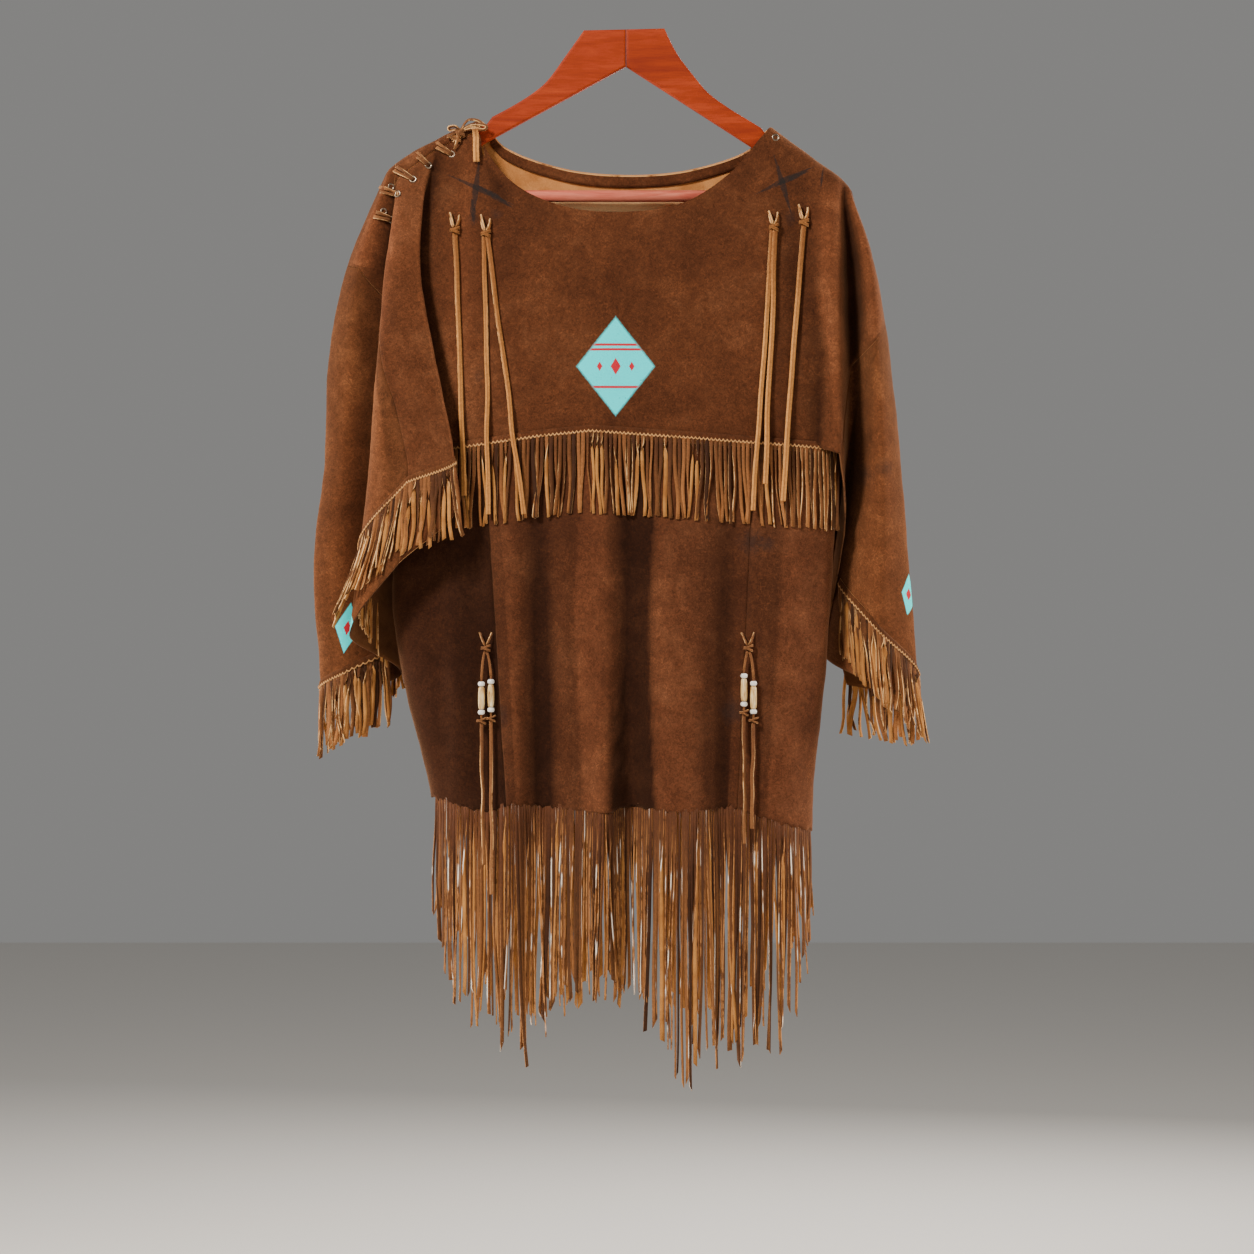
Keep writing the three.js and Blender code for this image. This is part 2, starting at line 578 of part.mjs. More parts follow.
// One column of the front or back piece. share is 0 at the line where the side part begins and 1 at its edge.
function yokeColumn(shoulder, face, inner, share) {
  const inwards = face === "front" ? shoulder.sign : -shoulder.sign;
  const edgeTop = capeTop(shoulder.edge)[1] - EDGE_START;
  const lapped = shoulder.sign < 0;
  const ridgeRow = RIDGE_ROWS.length;
  const headRow = ridgeRow + HEAD_ROWS;
  return (row) => {
    const seam = seamPlace(shoulder, face, Math.max(row - headRow - 1, 0) / SEAM_ROWS);
    const gap = gapAt(shoulder.edge, inwards, mix(edgeTop, shoulder.seam.head, row / headRow));
    const headT = shoulder.edge + gap * mix(EDGE_SPREAD, 1, row / headRow);
    const t = mix(inner, row > headRow ? seam.t : headT, share);
    if (row > headRow) {
      const plain = mix(shoulder.seam.head, hemAt(inner), (row - headRow) / (LAST_ROW - headRow));
      return { t, z: mix(plain, seam.z, share) };
    }
    const top = capeTop(t)[1];
    const lap = lapped ? linear(LAP, capeTop(t)[0]) + LAP_GAP : PLAIN_LAP;
    const normalT = share === 1 ? shoulder.edge : t;
    if (row < ridgeRow) return { t, z: top - RIDGE_ROWS[row], normalT };
    return { t, z: mix(top - lap, shoulder.seam.head, (row - ridgeRow) / HEAD_ROWS), normalT };
  };
}

const shares = (count) => Array.from({ length: count + 1 }, (_, i) => i / count);

// Columns of the middle of a piece, where the head's height runs from one shoulder's to the other's
function middleColumns(from, to, count, face, rightShoulder) {
  return shares(count).slice(1, -1).map((f) => {
    const inner = mix(from, to, f);
    const left = yokeColumn(LEFT, face, inner, 0);
    const right = yokeColumn(rightShoulder, face, inner, 0);
    return (row) => ({ t: inner, z: mix(left(row).z, right(row).z, f) });
  });
}

const frontInner = { left: lineAt("flap_inner"), right: rightLineAt("right_chest") };
const FRONT_SHARES = { left: 10, right: 7 };
const FRONT_PER_LINE = 2;
const frontMiddle = FRONT_PER_LINE * (frontInner.left - frontInner.right);
const frontColumns = [
  ...shares(FRONT_SHARES.left).reverse().map((f) => yokeColumn(LEFT, "front", frontInner.left, f)),
  ...middleColumns(frontInner.left, frontInner.right, frontMiddle, "front", RIGHT),
  ...shares(FRONT_SHARES.right).map((f) => yokeColumn(RIGHT, "front", frontInner.right, f)),
];
const lapStart = (FRONT_SHARES.left * 2) / 5;
const lapEnd = FRONT_SHARES.left + FRONT_PER_LINE * (frontInner.left - lineAt("front_neck_0"));
const underLap = (i, j) => j < RIDGE_ROWS.length && i >= lapStart && i < lapEnd;
add("yoke_front", wall(frontColumns.length - 1, LAST_ROW, (i, j) => {
  return besideSeam(frontColumns[i](j));
}, WALL, (i, j) => !underLap(i, j)), COLOURS.suede);

const backInner = { left: lineAt("back_neck_left"), right: lineAt("back_neck_right") };
const BACK_SHARES = { left: 6, right: 5 };
const BACK_MIDDLE = 12;
const backColumns = [
  ...shares(BACK_SHARES.left).reverse().map((f) => yokeColumn(LEFT, "back", backInner.left, f)),
  ...middleColumns(backInner.left, backInner.right, BACK_MIDDLE, "back", RIGHT_BEHIND),
  ...shares(BACK_SHARES.right).map((f) => yokeColumn(RIGHT_BEHIND, "back", backInner.right, f)),
];
const lapRows = RIDGE_ROWS.length;
const LAP_FROM = 2;
const overLap = (i, j) => j >= lapRows || (i >= LAP_FROM && i < BACK_SHARES.left);
add("yoke_back", wall(backColumns.length - 1, lapRows + LAST_ROW, (i, j) => {
  const place = backColumns[i](Math.max(j - lapRows, 0));
  if (j >= lapRows) return besideSeam(place);
  const ahead = Math.min(2 * LEFT.edge - place.t, LEFT.edge - 2.05);
  const [x, top] = capeTop(ahead);
  const reach = [...RIDGE_ROWS, linear(LAP, x)][lapRows - j];
  return onCape(ahead, top - reach);
}, WALL, overLap), COLOURS.suede);

function sleeve(shoulder, counts) {
  const columns = [
    ...shares(counts.front).reverse().map((share) => ({ face: "front", share })),
    ...shares(counts.back).slice(1).map((share) => ({ face: "back", share })),
  ];
  return wall(columns.length - 1, SEAM_ROWS, (i, j) => {
    const { face, share } = columns[i];
    const seam = seamPlace(shoulder, face, j / SEAM_ROWS);
    const end = seamPlace(shoulder, face, 1);
    const inwards = face === "front" ? shoulder.sign : -shoulder.sign;
    const t = mix(shoulder.edge, seam.t - gapAt(seam.t, inwards, seam.z), share);
    const top = mix(shoulder.seam.head, seamPlace(shoulder, face, 0).z, share);
    const hem = hemAt(mix(shoulder.edge, end.t, share));
    const z = mix(top, hem, j / SEAM_ROWS) - 2 * SEAM * (1 - j / SEAM_ROWS);
    return besideSeam({ t, z, normalT: share === 1 ? seam.t : t });
  }, WALL);
}

const SLEEVE_COLUMNS = { left: { front: 14, back: 6 }, right: { front: 8, back: 6 } };
add("sleeve_left", sleeve(LEFT, SLEEVE_COLUMNS.left), COLOURS.sleeve);
add("sleeve_right", sleeve(RIGHT, SLEEVE_COLUMNS.right), COLOURS.sleeve);

// A strip inside the back neckline
const facingColumns = shares(FACING.columns).map((f) => mix(lineAt("back_neck_0") - 0.5, lineAt("back_neck_4") + 0.5, f));
add("back_neck_facing", wall(facingColumns.length - 1, 2, (i, j) => {
  const t = facingColumns[i];
  return onCape(t, capeTop(t)[1] - FACING.drop - (FACING.width * j) / 2, -FACING.inside);
}, FACING.wall), COLOURS.suede);

// The lower body: a front, a back and a side piece round each side
const seamX = (seam, z) => mix(seam[0], seam[1], belowTop(z));
const inFrontHalf = (u) => u > 0.02 && u < 0.48;
const skirtTop = (u) => Math.min(chestLine(skirt(u, SKIRT_SHAPE.top).x), inFrontHalf(u) ? 0 : SIDE_TOP) - 2 * SEAM;
const skirtHem = (u) => linear(HEM_LINE, skirt(u, SKIRT_SHAPE.hem).x);

function skirtPiece(fromAt, toAt, columns) {
  return wall(columns, SKIRT_ROWS, (i, j) => {
    const f = j / SKIRT_ROWS;
    const rough = mix(SKIRT_SHAPE.top, SKIRT_SHAPE.hem, f);
    const u = mix(fromAt(rough), toAt(rough), i / columns);
    return onSkirt(u, mix(skirtTop(u), skirtHem(u), f));
  }, WALL);
}

const frontU = (side, gap) => (z) => skirtU(seamX(FRONT_SEAMS[side], z), z, true) + gap * SEAM_U;
const backU = (side, gap) => (z) => skirtU(seamX(BACK_SEAMS[side], z), z, false) + gap * SEAM_U;
add("skirt_front", skirtPiece(frontU("left", 1), frontU("right", -1), SKIRT_COLUMNS.front), COLOURS.suede);
add("skirt_back", skirtPiece(backU("right", 1), backU("left", -1), SKIRT_COLUMNS.back), COLOURS.suede);
add("skirt_side_left", skirtPiece((z) => backU("left", 1)(z) - 1, frontU("left", -1), SKIRT_COLUMNS.side), COLOURS.suede);
add("skirt_side_right", skirtPiece(frontU("right", 1), backU("right", -1), SKIRT_COLUMNS.side), COLOURS.suede);

// Fringe sewn round the cape's edge
const tipBelow = (heightAt, length) => (t) => heightAt(t) - length;
function capeFringe(name, from, to, length) {
  const pairs = strandPairs(cape, fringeAt, from, to, FRINGE.pitch, FRINGE.width);
  const tips = tipBelow(fringeAt, length);
  add(name, fringe(onCape, pairs, fringeAt, tips, FRINGE.wall, FRINGE.lift), COLOURS.fringe);
}

capeFringe("fringe_flap_left", lineAt("flap_inner") + 0.02, lineAt("deep_valley") - 0.35, FRINGE.length);
capeFringe("fringe_sleeve_left", lineAt("deep_valley") + 0.35, LEFT.edge - 0.05, FRINGE.length);
capeFringe("fringe_back_left", LEFT.edge + 0.05, LEFT.edge + 5, FRINGE.length);
capeFringe("fringe_sleeve_right", RIGHT.edge + 0.05, rightLineAt("right_valley") - 0.35, FRINGE.length);
capeFringe("fringe_back_right", RIGHT_BEHIND.edge - 3, RIGHT_BEHIND.edge - 0.05, FRINGE.length);

// Fringe over the seam between the cape and the lower body, and the cut fringe at the hem
const onBody = (front) => (x, z, lift) => onSkirt(skirtU(x, z, front), z, lift);
const bodySurface = (front) => (x, z) => skirt(skirtU(x, z, front), z);
function bodyFringe(name, front, span, heightAt, tipAt, size) {
  const pairs = strandPairs(bodySurface(front), heightAt, span[0], span[1], size.pitch, size.width);
  add(name, fringe(size.lift ? hung(front, heightAt) : onBody(front), pairs, heightAt, tipAt, size.wall, size.lift),
    COLOURS.fringe);
}

// Strands that hang straight down from their strip, in front of the folds below
function hung(front, heightAt) {
  const side = front ? -1 : 1;
  return (x, z, lift) => {
    const strip = onBody(front)(x, heightAt(x), lift);
    const free = onBody(front)(x, z, lift);
    if (z > heightAt(x) - STRIP_HEIGHT) return free;
    const y = side * Math.max(side * strip.point.y, side * free.point.y + 2);
    return { point: new THREE.Vector3(x, y, z), normal: strip.normal };
  };
}

const chestStrip = (x) => chestLine(x) - STRIP_GAP - STRIP_HEIGHT / 2;
const backStrip = () => SIDE_TOP - STRIP_GAP - STRIP_HEIGHT / 2;
bodyFringe("fringe_chest", true, [-182, 222], chestStrip, tipBelow(chestStrip, CHEST_FRINGE_LENGTH), CHEST_FRINGE);
bodyFringe("fringe_back", false, [-190, 196], backStrip, tipBelow(backStrip, CHEST_FRINGE_LENGTH), BACK_FRINGE);

const hemStrip = (x) => linear(HEM_LINE, x) - STRIP_GAP - STRIP_HEIGHT / 2;
bodyFringe("fringe_hem_front", true, [-200, 193], hemStrip, (x) => linear(HEM_TIPS_FRONT, x), HEM_FRINGE_FRONT);
bodyFringe("fringe_hem_back", false, [-200, 193], hemStrip, (x) => linear(HEM_TIPS_BACK, x), HEM_FRINGE_BACK);

// A closed strip or cord that follows a list of points, flat towards the wearer
const RIBBON_STEP = 28;
function ribbon(points, width, thickness) {
  const curve = new THREE.CatmullRomCurve3(points);
  const steps = Math.max(2, Math.round(curve.getLength() / RIBBON_STEP));
  return wall(1, steps, (i, j) => {
    const point = curve.getPoint(j / steps);
    const tangent = curve.getTangent(j / steps);
    const across = new THREE.Vector3(0, -1, 0).cross(tangent).normalize();
    return { point: point.addScaledVector(across, (i - 0.5) * width), normal: across.clone().cross(tangent).normalize() };
  }, thickness);
}

function knot(at, radius) {
  const geometry = new THREE.SphereGeometry(radius, 8, 5);
  geometry.scale(1, 0.7, 1.1);
  return geometry.translate(at.x, at.y, at.z);
}

// A point in front of the garment: the cape above the chest line, the lower body and its fringe below it
const frontLines = { from: rightLineAt("right_chest"), to: lineAt("armhole") };
const HALVINGS = 30;
function inFront(x, z, lift) {
  let low = frontLines.from;
  let high = frontLines.to;
  for (let k = 0; k < HALVINGS; k++) {
    const t = (low + high) / 2;
    if (cape(t, z).x > x) low = t;
    else high = t;
  }
  const point = z > SKIRT_SHAPE.top ? cape(low, z) : skirt(skirtU(x, z, true), z);
  return new THREE.Vector3(x, point.y - lift, z);
}

function thong({ name, seat, knot: [x, z], ends }) {
  const centre = inFront(x, z, THONG.knotLift);
  const pieces = [knot(centre, THONG.knot)];
  [-1, 1].forEach((side) => {
    const root = inFront(x + side * THONG.spread, z + THONG.arm, seat);
    pieces.push(ribbon([root, centre], THONG.width * THONG.armShare, THONG.wall));
  });
  ends.forEach(([endX, endZ]) => {
    const points = shares(THONG.points).map((f) => {
      const height = mix(z, endZ, f);
      const low = smooth(clamp((THONG.clearFrom - height) / THONG.clearOver, 0, 1));
      return inFront(mix(x, endX, f), height, mix(THONG.knotLift, THONG.lowLift, low));
    });
    pieces.push(ribbon(points, THONG.width, THONG.wall));
  });
  add(name, joined(pieces), COLOURS.lace);
}
THONGS.forEach(thong);

// Turned solids with a bore, upright
function turned(profile, at) {
  const points = [...profile, profile[0]].map(([r, z]) => new THREE.Vector2(r, z));
  const geometry = new THREE.LatheGeometry(points, TURNED_SIDES);
  geometry.deleteAttribute("normal");
  geometry.deleteAttribute("uv");
  geometry.rotateX(Math.PI / 2);
  geometry.translate(at.x, at.y, at.z);
  return facingOut(mergeVertices(geometry, 1e-4));
}

function bead(at) {
  const { radius, bore, height } = BEAD;
  return turned([[bore, -height / 2], [radius, -height / 4], [radius, height / 4], [bore, height / 2]], at);
}

function hairpipe(at) {
  const { radius, bore, length, endShare } = HAIRPIPE;
  return turned([[bore, -length / 2], [radius * endShare, -length / 2], [radius, 0], [radius * endShare, length / 2],
    [bore, length / 2]], at);
}

function tassel({ name, seat, x, top, strings, ends }) {
  const knotAt = inFront(x, top - TASSEL.knotDrop, TASSEL.lift);
  const depth = knotAt.y;
  const level = (px, z) => new THREE.Vector3(px, depth, z);
  const pieces = [knot(knotAt, TASSEL.knot)];
  [-1, 1].forEach((side) => {
    const root = inFront(x + side * TASSEL.spread, top, seat);
    pieces.push(ribbon([root, knotAt], THONG.width * THONG.armShare, THONG.wall));
  });
  strings.forEach((string, i) => {
    const half = HAIRPIPE.length / 2 + BEAD.height / 2 + SEAM;
    const middle = string.z - half;
    const bottom = middle - half - TASSEL.underPipe;
    const start = level(string.x, string.z + TASSEL.overBead);
    pieces.push(ribbon([knotAt, level(string.x, string.z + TASSEL.overBead - 1)], TASSEL.string, TASSEL.string));
    pieces.push(ribbon([start, level(string.x, bottom)], TASSEL.string, TASSEL.string));
    pieces.push(knot(level(string.x, bottom), TASSEL.endKnot));
    const [endX, endZ] = ends[i];
    const free = shares(5).map((f) => {
      const z = mix(bottom, endZ, f);
      const deeper = Math.min(depth, inFront(mix(string.x, endX, f), z, TASSEL.lift).y);
      return new THREE.Vector3(mix(string.x, endX, f), deeper, z);
    });
    pieces.push(ribbon(free, THONG.width * THONG.tasselShare, THONG.wall));
    add(name + "_hairpipe_" + (i + 1), hairpipe(level(string.x, middle)), COLOURS.bone, 0.4);
    add(name + "_bead_" + (2 * i + 1), bead(level(string.x, string.z)), COLOURS.bead, 0.3);
    add(name + "_bead_" + (2 * i + 2), bead(level(string.x, middle - half)), COLOURS.bead, 0.3);
  });
  add(name, joined(pieces), COLOURS.lace);
}
TASSELS.forEach(tassel);

// The left shoulder's lacing, which goes back and forth over the edge of the lap
function onLeftShoulder([x, fromSeam], lift) {
  let low = lineAt("neck_left");
  let high = LEFT.edge - 0.2;
  for (let k = 0; k < HALVINGS; k++) {
    const t = (low + high) / 2;
    if (capeTop(t)[0] > x) low = t;
    else high = t;
  }
  return onCape(low, capeTop(low)[1] - linear(LAP, x) + fromSeam, lift).point;
}
add("lacing_left", ribbon(LEFT_LACING.map((row) => onLeftShoulder(row, LACE.lift)), LACE.width, LACE.wall), COLOURS.lace);
add("lacing_end_left", ribbon(LACE_END.map(([x, z]) => inFront(x, z, LACE.endLift)), LACE.width, LACE.wall), COLOURS.lace);

export default group;
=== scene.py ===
import math
import random

import bmesh
import bpy
from mathutils import Matrix, Vector, noise


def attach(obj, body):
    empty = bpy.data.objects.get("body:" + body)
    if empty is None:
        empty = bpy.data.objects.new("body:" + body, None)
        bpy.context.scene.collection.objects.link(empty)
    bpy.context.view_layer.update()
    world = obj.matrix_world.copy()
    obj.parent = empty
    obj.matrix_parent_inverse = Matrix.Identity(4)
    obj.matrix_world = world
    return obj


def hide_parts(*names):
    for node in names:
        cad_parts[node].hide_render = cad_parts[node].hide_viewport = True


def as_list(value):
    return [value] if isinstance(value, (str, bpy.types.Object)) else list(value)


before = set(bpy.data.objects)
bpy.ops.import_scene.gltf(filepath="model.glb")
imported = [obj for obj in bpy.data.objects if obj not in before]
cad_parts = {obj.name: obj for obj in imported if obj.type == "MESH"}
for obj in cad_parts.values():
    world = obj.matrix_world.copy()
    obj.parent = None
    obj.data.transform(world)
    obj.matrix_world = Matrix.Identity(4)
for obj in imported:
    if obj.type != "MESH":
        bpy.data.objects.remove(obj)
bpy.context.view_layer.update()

MM = 0.001


# Camera, lights and floor
PHOTO_WIDTH = 1.342
CAMERA_DISTANCE = 4.2
CAMERA_HEIGHT = -0.639
SENSOR_WIDTH = 36
FLOOR_HEIGHT = -1.62
FLOOR_SIZE = 8
FLOOR_TONE = (0.72, 0.7, 0.67, 1)
WALL_TONE = (0.78, 0.77, 0.75, 1)
WALL_STRENGTH = 0.3


def make_camera():
    data = bpy.data.cameras.new("camera")
    data.sensor_width = SENSOR_WIDTH
    data.lens = data.sensor_width * CAMERA_DISTANCE / PHOTO_WIDTH
    camera = bpy.data.objects.new("camera", data)
    camera.location = (0.001, -CAMERA_DISTANCE, CAMERA_HEIGHT)
    camera.rotation_euler = (math.pi / 2, 0, 0)
    bpy.context.collection.objects.link(camera)
    bpy.context.scene.camera = camera


def area_light(name, place, target, size, power, tint):
    data = bpy.data.lights.new(name, "AREA")
    data.size = size
    data.energy = power
    data.color = tint
    lamp = bpy.data.objects.new(name, data)
    lamp.location = place
    lamp.rotation_euler = (Vector(target) - Vector(place)).to_track_quat("-Z", "Y").to_euler()
    bpy.context.collection.objects.link(lamp)


# Each light: its name, place, target, size, power and tint
LIGHTS = [
    ("key_light", (-1.9, -2.5, 1.7), (0, 0, -0.5), 0.7, 205, (1.0, 0.94, 0.86)),
    ("fill_light", (2.4, -2.8, 0.0), (0, 0, -0.6), 1.6, 26, (1.0, 0.95, 0.9)),
    ("right_rim_light", (2.3, 0.3, 0.1), (0, 0, -0.5), 0.9, 80, (1.0, 0.9, 0.78)),
    ("left_rim_light", (-2.3, 0.5, -0.2), (0, 0, -0.55), 0.9, 62, (1.0, 0.9, 0.78)),
    ("back_light", (0.8, 2.8, 0.6), (0, 0, -0.6), 1.4, 80, (1.0, 0.94, 0.88)),
]


def make_floor():
    bm = bmesh.new()
    bmesh.ops.create_grid(bm, x_segments=1, y_segments=1, size=FLOOR_SIZE)
    bmesh.ops.translate(bm, verts=bm.verts, vec=(0, 0, FLOOR_HEIGHT))
    mesh = bpy.data.meshes.new("floor")
    bm.to_mesh(mesh)
    bm.free()
    floor = bpy.data.objects.new("floor", mesh)
    bpy.context.collection.objects.link(floor)
    material = bpy.data.materials.new("pale_floor")
    material.use_nodes = True
    shader = material.node_tree.nodes["Principled BSDF"]
    shader.inputs["Base Color"].default_value = FLOOR_TONE
    shader.inputs["Roughness"].default_value = 0.8
    mesh.materials.append(material)


def make_world():
    world = bpy.data.worlds.new("studio")
    world.use_nodes = True
    background = world.node_tree.nodes["Background"]
    background.inputs["Color"].default_value = WALL_TONE
    background.inputs["Strength"].default_value = WALL_STRENGTH
    bpy.context.scene.world = world


make_camera()
for light in LIGHTS:
    area_light(*light)
make_floor()
make_world()


# Numbers and curves
def mix(a, b, f):
    return a + (b - a) * f


def clamp(v, low=0.0, high=1.0):
    return max(low, min(high, v))


def smooth(f):
    return f * f * (3 - 2 * f)


def shares(count):
    return [i / count for i in range(count + 1)]


def linear(table, at):
    rising = 1 if table[1][0] > table[0][0] else -1
    i = 0
    while i < len(table) - 2 and (at - table[i + 1][0]) * rising > 0:
        i += 1
    f = clamp((at - table[i][0]) / (table[i + 1][0] - table[i][0]))
    return mix(table[i][1], table[i + 1][1], f)


def drape(heights, values, z):
    """A smooth curve through values at falling heights, flat above the first and straight below the last."""
    last = len(heights) - 1
    if z >= heights[0]:
        return values[0]

    def slope(i):
        a, b = max(i - 1, 0), min(i + 1, last)
        return (values[b] - values[a]) / (heights[b] - heights[a])

    if z <= heights[last]:
        return values[last] + slope(last) * (z - heights[last])
    i = 0
    while z < heights[i + 1]:
        i += 1
    span = heights[i + 1] - heights[i]
    f = (z - heights[i]) / span
    curve = f * (1 - f) * (1 - f) * slope(i) - f * f * (1 - f) * slope(i + 1)
    return mix(values[i], values[i + 1], smooth(f)) + span * curve


def between(points, f):
    """Centripetal Catmull-Rom through four points, from the second to the third."""
    knots = [0.0]
    for i in range(1, 4):
        knots.append(knots[-1] + math.sqrt(math.dist(points[i], points[i - 1])) + 1e-4)
    t = mix(knots[1], knots[2], f)

    def lerp(a, b, ta, tb):
        w = (t - ta) / (tb - ta)
        return [mix(p, q, w) for p, q in zip(a, b)]

    a = [lerp(points[i], points[i + 1], knots[i], knots[i + 1]) for i in range(3)]
    b = [lerp(a[i], a[i + 1], knots[i], knots[i + 2]) for i in range(2)]
    return lerp(b[0], b[1], knots[1], knots[2])


# The cape's fold lines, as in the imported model: top is where a line leaves the shoulder,
# x and y hold its place at each of LEVELS, fringe is the pinked line's height and hem the edge's.
LEVELS = [-250, -350, -460, -570, -680]
RIDGE_RADIUS = 9
SETTLE = 70
BEND_FALL = 8
LEFT_FOLDS = [
    dict(name="armhole", top=(-194, -113), fringe=-448, hem=-452,
         x=(-232, -226, -210, -206, -206), y=(-14, -22, -41, -46, -46)),
    dict(name="flap_inner", top=(-210, -122), fringe=-466, hem=-505,
         x=(-218, -203, -181, -166, -160), y=(-34, -56, -78, -90, -94)),
    dict(name="flap_middle", top=(-226, -130), fringe=-487, hem=-572,
         x=(-238, -234, -228, -238, -252), y=(-38, -60, -78, -84, -80)),
    dict(name="flap_outer", top=(-238, -138), fringe=-545, hem=-645,
         x=(-254, -262, -269, -281, -297), y=(-30, -48, -60, -62, -50)),
    dict(name="deep_valley", top=(-246, -144), fringe=-655, hem=-690,
         x=(-250, -250, -251, -250, -243), y=(-6, 0, 10, 27, 34)),
    dict(name="outer_panel", top=(-252, -149), fringe=-688, hem=-714,
         x=(-283, -296, -301, -307, -303), y=(-14, -14, -12, -8, -4)),
]
LEFT_EDGE = dict(name="left_edge", top=(-256, -154), fringe=-704, hem=-730,
                 x=(-297, -317.5, -322, -334, -328), y=(3, 3, 4, 5, 6))
RIGHT_FOLDS = [
    dict(name="right_chest", top=(196, -135), fringe=-444, hem=-448.3,
         x=(204, 204, 203, 204, 204), y=(-34, -37, -36, -36, -34)),
    dict(name="right_ridge", top=(226, -157), fringe=-450, hem=-456,
         x=(222, 223, 226, 236, 238), y=(-40, -46, -48, -16, -4)),
    dict(name="right_valley", top=(232, -162.5), fringe=-572, hem=-668,
         x=(238, 241, 238, 224, 212), y=(-8, -4, 8, 27, 33)),
    dict(name="right_sleeve", top=(237, -167.5), fringe=-640, hem=-700,
         x=(258, 266, 272, 270, 264), y=(-34, -42, -38, -28, -18)),
]
RIGHT_EDGE = dict(name="right_edge", top=(241, -173), fringe=-690, hem=-716,
                  x=(263, 281, 293, 302, 311), y=(2, 2, 3, 3, 4))
LEFT_BACK_SHARE = [0, 0.18, 0.36, 0.54, 0.72, 0.88]
RIGHT_BACK_SHARE = [0, 0.3, 0.58, 0.82]
BACK_ARMHOLE = dict(x=(200, 202, 204, 204, 204), y=(20, 24, 30, 34, 36))
BACK_BULGE = [12, 18, 20, 20, 18]
BACK_HEM = dict(armhole=-449, left=-640, right=-698, rise=0.15)
FRINGE_ABOVE_HEM = 26
FRONT_NECK = [
    (-152, -124, -146), (-118, -167, -106), (-62, -192, -56), (0, -197, 0),
    (60, -187.5, 56), (112, -154, 106), (146, -114, 146),
]
BACK_NECK = [(-130, -124, -130), (-66, -147, -66), (0, -153.5, 0), (66, -148.5, 66), (130, -128, 130)]
NECK_CORNER = dict(left=(-157, -97), right=(156, -105), low=178)
NECK_SAG = dict(front=14, back=6, span=155)
BODY_DEPTH = dict(front=(34, 43, 50, 54, 56), back=(24, 30, 36, 40, 42), side=230, power=3)
CHEST_LINE = [(-230, -456), (-150, -445), (-95, -437), (-38, -431), (60, -438), (227, -450)]


def chest_line(x):
    return linear(CHEST_LINE, x)


def body_depth(x, depth):
    power = BODY_DEPTH["power"]
    return depth * (1 - abs(x / BODY_DEPTH["side"]) ** power) ** (1 / power)


def inner_line(name, side, ridge, top, sag, low):
    """A line of the front or back between the sleeves, which falls straight from its place low."""
    depth = BODY_DEPTH["front" if side < 0 else "back"]
    return dict(name=name, side=side, ridge=ridge, top=top, top_y=side * (RIDGE_RADIUS + sag),
                x=[low] * 5, y=[side * body_depth(low, d) for d in depth],
                hem=chest_line(low) if side < 0 else BACK_HEM["armhole"], chest=side < 0)


def neck_line(name, row, side):
    x, z, low = row
    sag = NECK_SAG["front" if side < 0 else "back"] * (1 - (x / NECK_SAG["span"]) ** 2)
    return inner_line(name, side, 0, (x, z), sag, low)


def corner_line(name, top, side):
    return inner_line(name, side, 1, top, 0, math.copysign(NECK_CORNER["low"], top[0]))


def fold_line(row, side, ridge):
    return dict(row, side=side, ridge=ridge, top_y=side * RIDGE_RADIUS * ridge, chest=False)


def back_line(front, edge, share, hem_inner):
    sign = math.copysign(1, edge["top"][0])
    rise = BACK_HEM["rise"]
    if share < rise:
        hem = mix(BACK_HEM["armhole"], hem_inner, share / rise)
    else:
        hem = mix(hem_inner, edge["hem"], (share - rise) / (1 - rise))
    bulge = math.sin(math.pi * share)
    return dict(name="back_" + front["name"], side=1, ridge=1, top=front["top"], top_y=RIDGE_RADIUS,
                x=[mix(sign * BACK_ARMHOLE["x"][i], edge["x"][i], share) for i in range(5)],
                y=[mix(BACK_ARMHOLE["y"][i], edge["y"][i], share) + BACK_BULGE[i] * bulge for i in range(5)],
                fringe=hem + FRINGE_ABOVE_HEM, hem=hem, chest=False)


def cape_lines():
    left_neck = [neck_line(f"front_neck_{i}", row, -1) for i, row in enumerate(FRONT_NECK[:4])]
    right_neck = [neck_line(f"front_neck_{i + 4}", row, -1) for i, row in enumerate(FRONT_NECK[4:])]
    left_back = [back_line(row, LEFT_EDGE, share, BACK_HEM["left"])
                 for row, share in zip(LEFT_FOLDS, LEFT_BACK_SHARE)]
    right_back = [back_line(row, RIGHT_EDGE, share, BACK_HEM["right"])
                  for row, share in zip(RIGHT_FOLDS, RIGHT_BACK_SHARE)]
    return (
        left_neck[::-1]
        + [corner_line("neck_left", NECK_CORNER["left"], -1)]
        + [fold_line(row, -1, 1) for row in LEFT_FOLDS]
        + [fold_line(LEFT_EDGE, 0, 0)]
        + left_back[::-1]
        + [corner_line("back_neck_left", NECK_CORNER["left"], 1)]
        + [neck_line(f"back_neck_{i}", row, 1) for i, row in enumerate(BACK_NECK)]
        + [corner_line("back_neck_right", NECK_CORNER["right"], 1)]
        + right_back
        + [fold_line(RIGHT_EDGE, 0, 0)]
        + [fold_line(row, -1, 1) for row in RIGHT_FOLDS][::-1]
        + [corner_line("neck_right", NECK_CORNER["right"], -1)]
        + right_neck[::-1]
    )


CAPE = cape_lines()
LINES = len(CAPE)
for cape_row in CAPE:
    cape_row["heights"] = [cape_row["top"][1], *LEVELS]
    cape_row["xs"] = [cape_row["top"][0], *cape_row["x"]]
    cape_row["ys"] = [cape_row["top_y"], *cape_row["y"]]


def line(i):
    return CAPE[i % LINES]


def line_at(name):
    return next(i for i, row in enumerate(CAPE) if row["name"] == name)


def right_line_at(name):
    return line_at(name) - LINES


